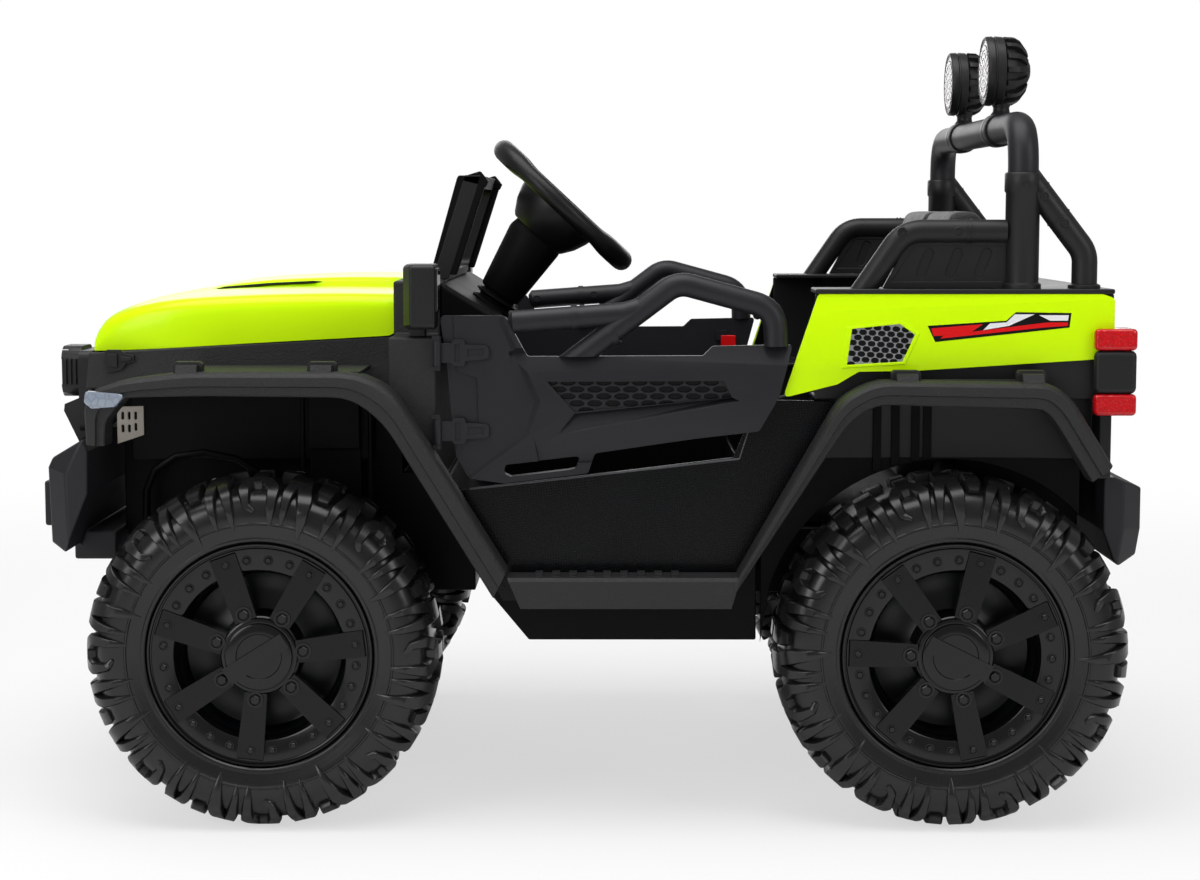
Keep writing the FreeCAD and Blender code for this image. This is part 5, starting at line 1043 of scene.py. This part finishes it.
bonnetShape = {
    "rows": [  # x, half width, lower edge, upper edge at the side
        (228.6, 250, 568.5, 618), (300, 250, 564.5, 619), (400, 249, 559, 617), (490, 246, 553.5, 612),
        (535, 240, 551, 605), (565, 233, 549.5, 597), (585, 226, 548.5, 588), (597, 220, 548, 575),
        (602, 216.5, 547.8, 562), (602.4, 215.5, 547.6, 550),
    ],
    "crown": 7, "corner": 20,
    "scoop": [(508, 0, 60), (490, 4, 78), (463, 12, 96), (420, 17, 108), (366, 20, 116), (300, 21.5, 120),
              (229, 22, 121)],
    "slitStart": 470, "slitStep": 11.5, "slitRadii": [0.3] + [1.9] * 11 + [0.3],
}


def bonnetTop(x):
    rows = bonnetShape["rows"]
    for a, b in zip(rows, rows[1:]):
        if a[0] <= x <= b[0]:
            return a[3] + (b[3] - a[3]) * (x - a[0]) / (b[0] - a[0])
    return rows[0][3]


def bothHalves(x, half):
    # a ring at x from one half, which ends in the middle
    return [(x, y, z) for y, z in half] + [(x, -y, z) for y, z in half[-2::-1]]


def makeBonnet():
    s = bonnetShape
    skin, scoop, slits = bmesh.new(), bmesh.new(), bmesh.new()
    rings = []
    for x, half, edge, high in smoothed(s["rows"], 4):
        height = high - edge
        corner = min(s["corner"], height * 0.7)
        crown = s["crown"] * min(1, height / 45)
        rings.append(bothHalves(x, [
            (half + 0.3, edge), (half + 0.8, edge + height * 0.3), (half, high - corner),
            (half - 1.6, high - corner * 0.55), (half - corner * 0.3, high - corner * 0.25),
            (half - corner * 0.62, high - corner * 0.07), (half - corner, high + 0.6),
            (half * 0.75, high + crown * 0.55), (half * 0.45, high + crown * 0.88), (half * 0.2, high + crown),
            (0, high + crown),
        ]))
    addRings(skin, rings, closedRing=False, caps=(False, True))
    rings = []
    for x, rise, half in smoothed(s["scoop"], 4):
        base = bonnetTop(x) - 6
        z = bonnetTop(x) + s["crown"] * 0.4 + rise * 0.66
        rings.append(bothHalves(x, [
            (half + 6, base), (half + 2, base + 8), (half - 3, z - 3), (half - 9, z), (half * 0.5, z + 1.6),
            (0, z + 2),
        ]))
    addRings(scoop, rings, closedRing=False)
    makePiece("bonnet_skin", joined(skin, scoop), "lime", "bonnet", True, angle=32, subdivide=1, lifted=True)
    # dark slits in the scoop's shoulders
    path = []
    for step in range(len(s["slitRadii"])):
        back = step * s["slitStep"]
        x = s["slitStart"] - back
        path.append((x, 102.6 + back * 0.13, bonnetTop(x) + 7 + back * 0.03))
    addTube(slits, path, s["slitRadii"], 8)
    makePair("scoop_slits", slits, "black", "bonnet", angle=40)


makeBonnet()
print("bonnet made")


# Painted quarter panels with their vents and stripes

quarterShape = {
    "outline": [(-277, 622), (-610, 622), (-624, 617), (-624, 548), (-594, 545), (-392, 532), (-325, 531),
                (-300, 516), (-236, 500)],
    "rounding": [4, 6, 6, 3, 5, 5, 5, 5, 5],
    "vent": [(-315, 582), (-373, 588), (-392, 575), (-377, 542), (-309, 538)],
    "facets": [  # cut off the face, which leans out to a crease that climbs to the back
        [(-250, 0, 600), (-650, 0, 617), (-250, -3.4, 640), (-650, -3.4, 640),
         (-250, 9, 600), (-650, 9, 617), (-250, 9, 640), (-650, 9, 640)],
        [(-240, -1.6, 490), (-330, -1.6, 520), (-660, -1.6, 530), (-660, 0, 562), (-240, 0, 536),
         (-240, 9, 490), (-660, 9, 530), (-660, 9, 562), (-240, 9, 536)],
    ],
    "stripes": [  # plain film: outline, finish (black, red, white) and rise
        ([(-405, 585), (-497, 591), (-508, 601), (-573, 600), (-571, 583), (-414, 566)], 0, 0.0),
        ([(-409, 582), (-470, 587), (-452, 575), (-412, 573)], 1, 0.12),
        ([(-478, 588), (-497, 589), (-507, 598.5), (-530, 598.5), (-500, 585), (-470, 580)], 2, 0.12),
        ([(-420, 570), (-540, 583), (-569, 585), (-569, 589), (-545, 589), (-424, 574)], 1, 0.24),
        ([(-535, 597.5), (-570, 597.5), (-569, 591), (-548, 591)], 2, 0.12),
    ],
}


def makeQuarters():
    s = quarterShape
    home, vent = "quarter_panels", s["vent"]
    face = boxOf(home)[1].y
    panel = prism(roundedCorners(s["outline"], s["rounding"], 3), "y", face - 5, face)
    panel = carve(panel, prism(roundedCorners(vent, 4, 3), "y", face - 3.4, face + 5))
    panel = carveHulls(panel, s["facets"], face)
    makePair("quarter_skins", panel, "lime", home, True, bevel=1.3, segments=3, angle=14)
    # silver comb in a raised frame
    field = scaled(vent, 0.97)
    comb = honeycomb(field, face - 3.2, face - 1.2, 11, 6.4, 2, lean=4)
    makePair("vent_combs", comb, "silver", home, bevel=0.3, angle=30, slot="mirror_glasses")
    makePair("vent_backs", prism(field, "y", face - 3.5, face - 2.9), "black", home, slot="side_panels")
    rim = prism(scaled(vent, 1.1), "y", face - 1.5, face + 0.9)
    rim = carve(rim, prism(scaled(vent, 0.96), "y", face - 6, face + 4))
    makePair("vent_frames", rim, "lime", home, bevel=0.8, angle=30)
    film = bmesh.new()
    for points, index, rise in s["stripes"]:
        addPrism(film, points, "y", face - 1.2, face + 0.25 + rise, index)
    makePair("quarter_stripes", film, ["black", "red", "white"], home, angle=30, slot="side_panels")


makeQuarters()
print("quarters made")


# Flares: one lip swept along each arch, hooked over the bodywork, with the lamp in the front one's nose

flareShape = {
    "front": [  # outer edge and inner edge, station by station
        ((576, 449), (554, 447)), ((577.5, 492), (552, 476)), ((568, 512), (530, 503)),
        ((536, 523), (500, 504)), ((464, 532.5), (440, 505)), ((262, 533), (268, 503)),
        ((219, 513), (230, 473)), ((88, 300), (104, 268)),
    ],
    "rear": [
        ((-184, 298), (-172, 262)), ((-301, 503), (-310, 474)), ((-341, 523), (-340, 495)),
        ((-543, 521), (-536, 490)), ((-568, 503), (-550, 474)), ((-617, 424), (-593, 405)),
    ],
    "rounding": {"front": [0, 8, 8, 12, 20, 22, 22, 0], "rear": [0, 18, 18, 14, 14, 0]},
    "section": [  # share from the outer to the inner edge, and depth behind the face
        (0, 46), (0, 9), (0.1, 2.6), (0.2, 0.4), (0.55, 0), (0.585, 1.6), (0.6, 4.2), (0.635, 4.8), (0.9, 5.2),
        (0.97, 6.6), (1, 10), (1, 46),
    ],
    "roof": {"front": (259, 468, 533, 252), "rear": (-540, -345, 523, 351)},  # back, front, top and inner side
    "hooks": {"front": (459.5, 303.0), "rear": (-378.0, -524.0)},
    "hookBar": [(-17, -4), (17, -4), (17, 8), (14, 11), (-14, 11), (-17, 8)],
    "tongues": ((12.5, 8, 4), (9.5, 5, 2)),  # half width, reach up and depth
    "lamp": [(573.5, 512), (528, 508), (539, 493.5), (567, 491), (575.5, 499)],
    "lampLayers": ((8, 1.0), (1.6, 1.0), (0.4, 0.95), (0, 0.86)),
}


def makeFlares():
    s = flareShape
    for end in ("front", "rear"):
        home = "flares_" + end
        face = boxOf(home)[1].y
        outer, inner = (bentEdge([pair[k] for pair in s[end]], s["rounding"][end]) for k in (0, 1))
        flare = bmesh.new()
        addRings(flare, [
            [(a.x + (b.x - a.x) * t, face - deep, a.y + (b.y - a.y) * t) for t, deep in s["section"]]
            for a, b in zip(outer, inner)
        ])
        low, high, top, shelf = s["roof"][end]
        addBlock(flare, (low, shelf, top - 6), (high, face - 30, top - 0.5))
        for x in s["hooks"][end]:
            # a wide bar behind and a stepped tongue that grips the lip
            addPrism(flare, [(x + a, top + b) for a, b in s["hookBar"]], "y", face - 40, face - 24)
            for half, reach, deep in s["tongues"]:
                section = ((27, reach), (27, -6), (6 + deep, -4), (3.5 + deep, -7), (14, reach - 1))
                addHull(flare, [(x + way * half, face - y, top + z) for way in (-1, 1) for y, z in section])
        makePair(f"flare_{end}_lips", flare, "pebbled", home, True, bevel=0.6, angle=32)
    lamp = bmesh.new()
    face = boxOf("indicator_lamps")[1].y
    rounded = roundedCorners(s["lamp"], 4, 4)
    layers = [[(x, face - deep, z) for x, z in scaled(rounded, share)] for deep, share in s["lampLayers"]]
    addRings(lamp, layers)
    makePair("indicator_glasses", lamp, "clearLens", "indicator_lamps", True, angle=40)


makeFlares()
print("flares made")


# Small fittings: windscreen flanges, mirrors, arch walls and linings, latches, slotted boards, and a pale strip
# painted on as the side panels' edge highlight

fittingShape = {
    "flanges": (([(189, 643), (156, 759), (127, 768), (119, 758), (149, 664), (157, 640)], 15, 0.2),
                ([(157, 757), (154, 762.6), (126, 762.6), (117, 756), (121, 748)], 16, 0)),
    "bulge": [(546, 330), (545, 372), (534, 398), (508, 415), (473, 420), (432, 412), (398, 390), (384, 352)],
    "walls": (((276, -2, 262), (340, 2.5, 500)), ((276, 1, 425), (340, 18, 500)),
              ((346, -2, 395), (352, 2.5, 503)), ((262, -2, 262), (268, 2.5, 500))),
    "lining": [(-276, 620), (-345, 620), (-345, 524), (-302, 512), (-239, 501)],
    "latch": (([(582, 548), (579, 551), (562, 551), (556, 546), (546, 544), (546, 536), (556, 534), (562, 526),
                (579, 523), (582, 527)], 249, 254.5),
              ([(578, 546), (566, 546), (566, 529), (578, 531)], 252, 257.5),
              ([(562, 543), (549, 541.5), (549, 538), (562, 536)], 252, 256.5)),
    "board": [(579, 431), (579, 477), (546, 478), (546, 442)],
    "boardSlots": ((572, 466), (564, 466), (556, 466), (572, 450), (564, 450), (556, 452)),
    "lip": [(133, 391), (-186, 427), (-204, 486), (-231, 500), (-296, 514)],
    "linerClear": 223, "linerTop": 452, "linerEnds": (-214, -596), "linerSteps": 32,
    "ribs": (-352, -374, -398, -412),
}


def makeFittings():
    s = fittingShape
    side = boxOf("windscreen_frame")[1].y
    flange, latch = bmesh.new(), bmesh.new()
    for outline, deep, shy in s["flanges"]:
        addPrism(flange, outline, "y", side - deep, side - shy)
    makePair("screen_flanges", flange, "cover", "windscreen_frame", bevel=1.5)
    for outline, low, high in s["latch"]:
        addPrism(latch, outline, "y", low, high)
    makePair("bonnet_latches", latch, "satin", "bonnet", bevel=0.7, slot="front_shell")

    low, high = boxOf("mirror_glasses")
    glass, rim = bmesh.new(), bmesh.new()
    addBlock(glass, (low.x, high.y - 47, low.z + 3), (low.x + 0.7, high.y - 3, high.z - 3))
    makePiece("mirror_faces", glass, "mirror", "mirror_glasses", True, bothSides=True)
    addBlock(rim, (low.x + 0.3, high.y - 50, low.z), (high.x + 2, high.y, high.z))
    makePiece("mirror_rims", rim, "satin", "mirrors", bevel=1, bothSides=True)

    # the front arch's inner wall: a bulge round the tyre and a box behind it
    wall = bmesh.new()
    depth = boxOf("front_chassis")[1].y
    addTube(wall, [(x, depth - 2, z) for x, z in s["bulge"]], 5, 12)
    for low, high in s["walls"]:
        addBlock(wall, (low[0], depth + low[1], low[2]), (high[0], depth + high[1], high[2]))
    makePair("arch_walls", wall, "inner", "front_chassis", bevel=3)
    board, cutter = prism(s["board"], "y", 199.6, 203.4), bmesh.new()
    for x, z in s["boardSlots"]:
        addPrism(cutter, pill(x, z, 10, 3.4, 90), "y", 195, 210)
    makePair("arch_boards", carve(board, cutter), "board", "front_chassis", bevel=0.3)

    outer = boxOf("quarter_panels")[1].y
    lining = prism(s["lining"], "y", outer - 9, outer - 5.2)
    makePair("quarter_linings", lining, "inner", "quarter_panels", bevel=0.8, slot="side_panels")
    # a thin pale tube along the side panel's edge: a painted highlight on its rounded edge, not a real part
    lip = bmesh.new()
    face = boxOf("side_panels")[1].y
    addTube(lip, [(x, face - 0.6, z) for x, z in s["lip"]], 1.5, 10)
    makePair("side_panel_painted_highlights", lip, "lip", "side_panels", angle=60)

    # the rear arches' inner walls follow the tyres, with ribs
    axleX, _, axleZ = (v / mm for v in joints["roll_rear_left"]["pos_m"])

    def over(x, clear):
        return axleZ + math.sqrt(clear ** 2 - (x - axleX) ** 2)

    (first, last), top = s["linerEnds"], s["linerTop"]
    stations = [first + step * (last - first) / s["linerSteps"] for step in range(s["linerSteps"] + 1)]
    outline = [(last, top), (first, top)] + [(x, over(x, s["linerClear"])) for x in stations]
    liner = prism(outline, "y", 301.5, 305)
    for x in s["ribs"]:
        addBlock(liner, (x - 5, 304, over(x, s["linerClear"] + 2)), (x + 5, 309.5, 500))
    makePiece("rear_arch_liners", liner, "inner", "rear_shell", bevel=0.6, bothSides=True)


makeFittings()
print("fittings made")


# Seats: pads that swell between sewn channels

seatShape = {
    "voxel": 5.5, "shrink": 5.0, "pressure": 4.0, "frames": 20,
    "cap": {"seat_cushions": 9.0, "seat_backs": 11.0},
    "seam": 3.4, "channels": 4,
}


def inflated(bm, lowY, highY, cap):
    # cloth under pressure, held along the sewn lines, with each point's way capped
    s = seatShape
    pad = linked("pad", bm)
    remesh = addModifier(pad, "REMESH", mode="VOXEL", voxel_size=s["voxel"] * mm, use_smooth_shade=True)
    smooth = addModifier(pad, "SMOOTH", factor=0.5, iterations=4)
    depsgraph = bpy.context.evaluated_depsgraph_get()
    even = bpy.data.meshes.new_from_object(pad.evaluated_get(depsgraph))
    pad.modifiers.remove(remesh)
    pad.modifiers.remove(smooth)
    pad.data = even
    start = [v.co.copy() for v in even.vertices]
    lines = [lowY + (highY - lowY) * k / s["channels"] for k in range(1, s["channels"])]
    sewn = [i for i, co in enumerate(start) if any(abs(co.y / mm - y) < s["seam"] for y in lines)]
    held = pad.vertex_groups.new(name="sewn")
    held.add(sewn, 1.0, "REPLACE")
    cloth = addModifier(pad, "CLOTH")
    cloth.settings.use_pressure = True
    cloth.settings.uniform_pressure_force = s["pressure"]
    cloth.settings.effector_weights.gravity = 0
    cloth.settings.vertex_group_mass = held.name
    cloth.point_cache.frame_start, cloth.point_cache.frame_end = 1, s["frames"]
    scene = bpy.context.scene
    for number in range(1, s["frames"] + 1):
        scene.frame_set(number)
    swollen = pad.evaluated_get(bpy.context.evaluated_depsgraph_get()).data
    for vertex, before, after in zip(even.vertices, start, swollen.vertices):
        way = after.co - before
        if way.length > cap * mm:
            way *= cap * mm / way.length
        vertex.co = before + way
    pad.modifiers.remove(cloth)
    scene.frame_set(1)
    result = bmesh.new()
    result.from_mesh(even)
    bpy.data.objects.remove(pad)
    return result


def makeSeats():
    s = seatShape
    for node in ("seat_cushions", "seat_backs"):
        source = solidOf(node)
        bmesh.ops.delete(source, geom=[v for v in source.verts if v.co.y < 0], context="VERTS")
        low, high = (Vector([pick(v.co[i] for v in source.verts) for i in range(3)]) for pick in (min, max))
        middle, size = (low + high) / 2, high - low
        for v in source.verts:
            for i in range(3):
                v.co[i] = middle[i] + (v.co[i] - middle[i]) * (1 - 2 * s["shrink"] * mm / size[i])
        pad = inflated(source, low.y / mm, high.y / mm, s["cap"][node])
        # nothing swells past the seat's own box
        for v in pad.verts:
            v.co = Vector([min(max(v.co[i], low[i]), high[i]) for i in range(3)])
        makePiece(node + "_pads", pad, "seat", node, True, angle=180, subdivide=1, bothSides=True)


makeSeats()
print("seats made")


# Panels that keep the construction's own form, their edges rounded by so many millimetres

mouldings = {
    "satin": {"rear_shell": 2, "rear_deck": 2, "windscreen_frame": 3, "mirrors": 4, "tail_lamp_boxes": 7,
              "grille": 2.5, "door_hinges": 1},
    "door": {"front_bumper": 6, "rear_bumper": 6},
    "pebbled": {"steps": 2.2, "cowl": 3, "front_shell": 3},
    "cover": {"dashboard": 7},
    "inner": {"cabin_tub": 2, "front_chassis": 2, "rear_chassis": 2, "gearboxes": 3},
    "lime": {"tailgate": 2},
    "wovenFilm": {"side_panels": 1.2},
    "steel": dict.fromkeys(("front_axle", "rear_axle", "knuckle_left", "knuckle_right", "tie_rod"), 0.8),
    "clearLens": {"headlamps": 1.5},
    "redLens": {"tail_lenses": 5},
    "battery": {"battery": 2},
}
for finish, nodes in mouldings.items():
    for node, width in nodes.items():
        makePiece(node + "_moulding", solidOf(node), finish, node, True, width, 3, 30)
print("mouldings made")


# Floor, light and camera

stageShape = {"floorHalf": 30000, "floorColor": (0.84, 0.84, 0.84), "fade": (1.2, 3.6), "glow": 0.62}
lightShape = {
    "world": 0.3,
    "lamps": [  # name, place, aim, size, watts
        ("overhead", (0.3, 0.6, 3.4), (0, 0, 0.3), (3.4, 2.6), 102),
        ("fromLeft", (2.6, 3.0, 1.9), (0, 0, 0.4), (1.6, 2.2), 46),
        ("fromRight", (-2.8, 2.6, 2.1), (0, 0, 0.4), (1.4, 2.2), 30),
        ("behind", (0.0, -3.4, 1.6), (0, 0, 0.4), (3.2, 1.4), 30),
    ],
}
cameraShape = {
    "place": (-0.029, 3.04, 0.728), "tilt": 5.68, "turn": 0.17, "focalPixels": 2295.0, "pixelsWide": 1200,
}


def makeStage():
    s = stageShape
    bm, half = bmesh.new(), s["floorHalf"]
    rows = [[(-half, y, 0), (half, y, 0)] for y in (-half, half)]
    addRings(bm, rows, closedRing=False, caps=(False, False))
    floor = linked("floor", bm)
    finish, tree, shader, place = startFinish(
        "floorPaint", Base_Color=(*s["floorColor"], 1), Roughness=0.9, Specular_IOR_Level=0.0
    )
    # far from the object the floor is as white as the background behind it
    distance = addNode(tree, "VectorMath", {0: place}, operation="LENGTH").outputs["Value"]
    near, far = s["fade"]
    spread = {"Value": distance, "From Min": near, "From Max": far, "To Min": s["glow"], "To Max": 1.0}
    fade = addNode(tree, "MapRange", spread, interpolation_type="SMOOTHSTEP").outputs["Result"]
    seen = addNode(tree, "LightPath").outputs["Is Camera Ray"]
    fade = addNode(tree, "Math", {0: fade, 1: seen}, operation="MULTIPLY").outputs[0]
    glow = addNode(tree, "Emission", {"Color": (1, 1, 1, 1), "Strength": 1.0}).outputs[0]
    mixed = addNode(tree, "MixShader", {0: fade, 1: shader.outputs[0], 2: glow}).outputs[0]
    tree.links.new(mixed, tree.nodes["Material Output"].inputs["Surface"])
    floor.data.materials.append(finish)


def makeLights():
    world = bpy.data.worlds.new("studio")
    bpy.context.scene.world = world
    world.use_nodes = True
    tree = world.node_tree
    tree.nodes.clear()
    rays = addNode(tree, "LightPath").outputs
    kinds = {0: rays["Is Camera Ray"], 1: rays["Is Transmission Ray"]}
    seen = addNode(tree, "Math", kinds, operation="MAXIMUM").outputs[0]
    dim, white = (addNode(tree, "Background", {"Color": (1, 1, 1, 1), "Strength": strength}).outputs[0]
                  for strength in (lightShape["world"], 1.0))
    mixed = addNode(tree, "MixShader", {0: seen, 1: dim, 2: white}).outputs[0]
    addNode(tree, "OutputWorld", {"Surface": mixed})
    for name, place, aim, size, watts in lightShape["lamps"]:
        lamp = bpy.data.lights.new(name, "AREA")
        lamp.shape, lamp.size, lamp.size_y, lamp.energy = "RECTANGLE", size[0], size[1], watts
        holder = addObject(name, lamp)
        holder.location = place
        holder.rotation_euler = (Vector(place) - Vector(aim)).to_track_quat("Z", "Y").to_euler()


def makeCamera():
    s = cameraShape
    camera = bpy.data.cameras.new("camera")
    camera.sensor_width = 36.0
    camera.lens = s["focalPixels"] / s["pixelsWide"] * camera.sensor_width
    holder = addObject("camera", camera)
    holder.location = s["place"]
    holder.rotation_euler = (math.radians(90 - s["tilt"]), 0, math.radians(180 + s["turn"]))
    bpy.context.scene.camera = holder


makeStage()
makeLights()
makeCamera()
bpy.context.scene.view_settings.view_transform = "Standard"
print("stage, lights and camera made")
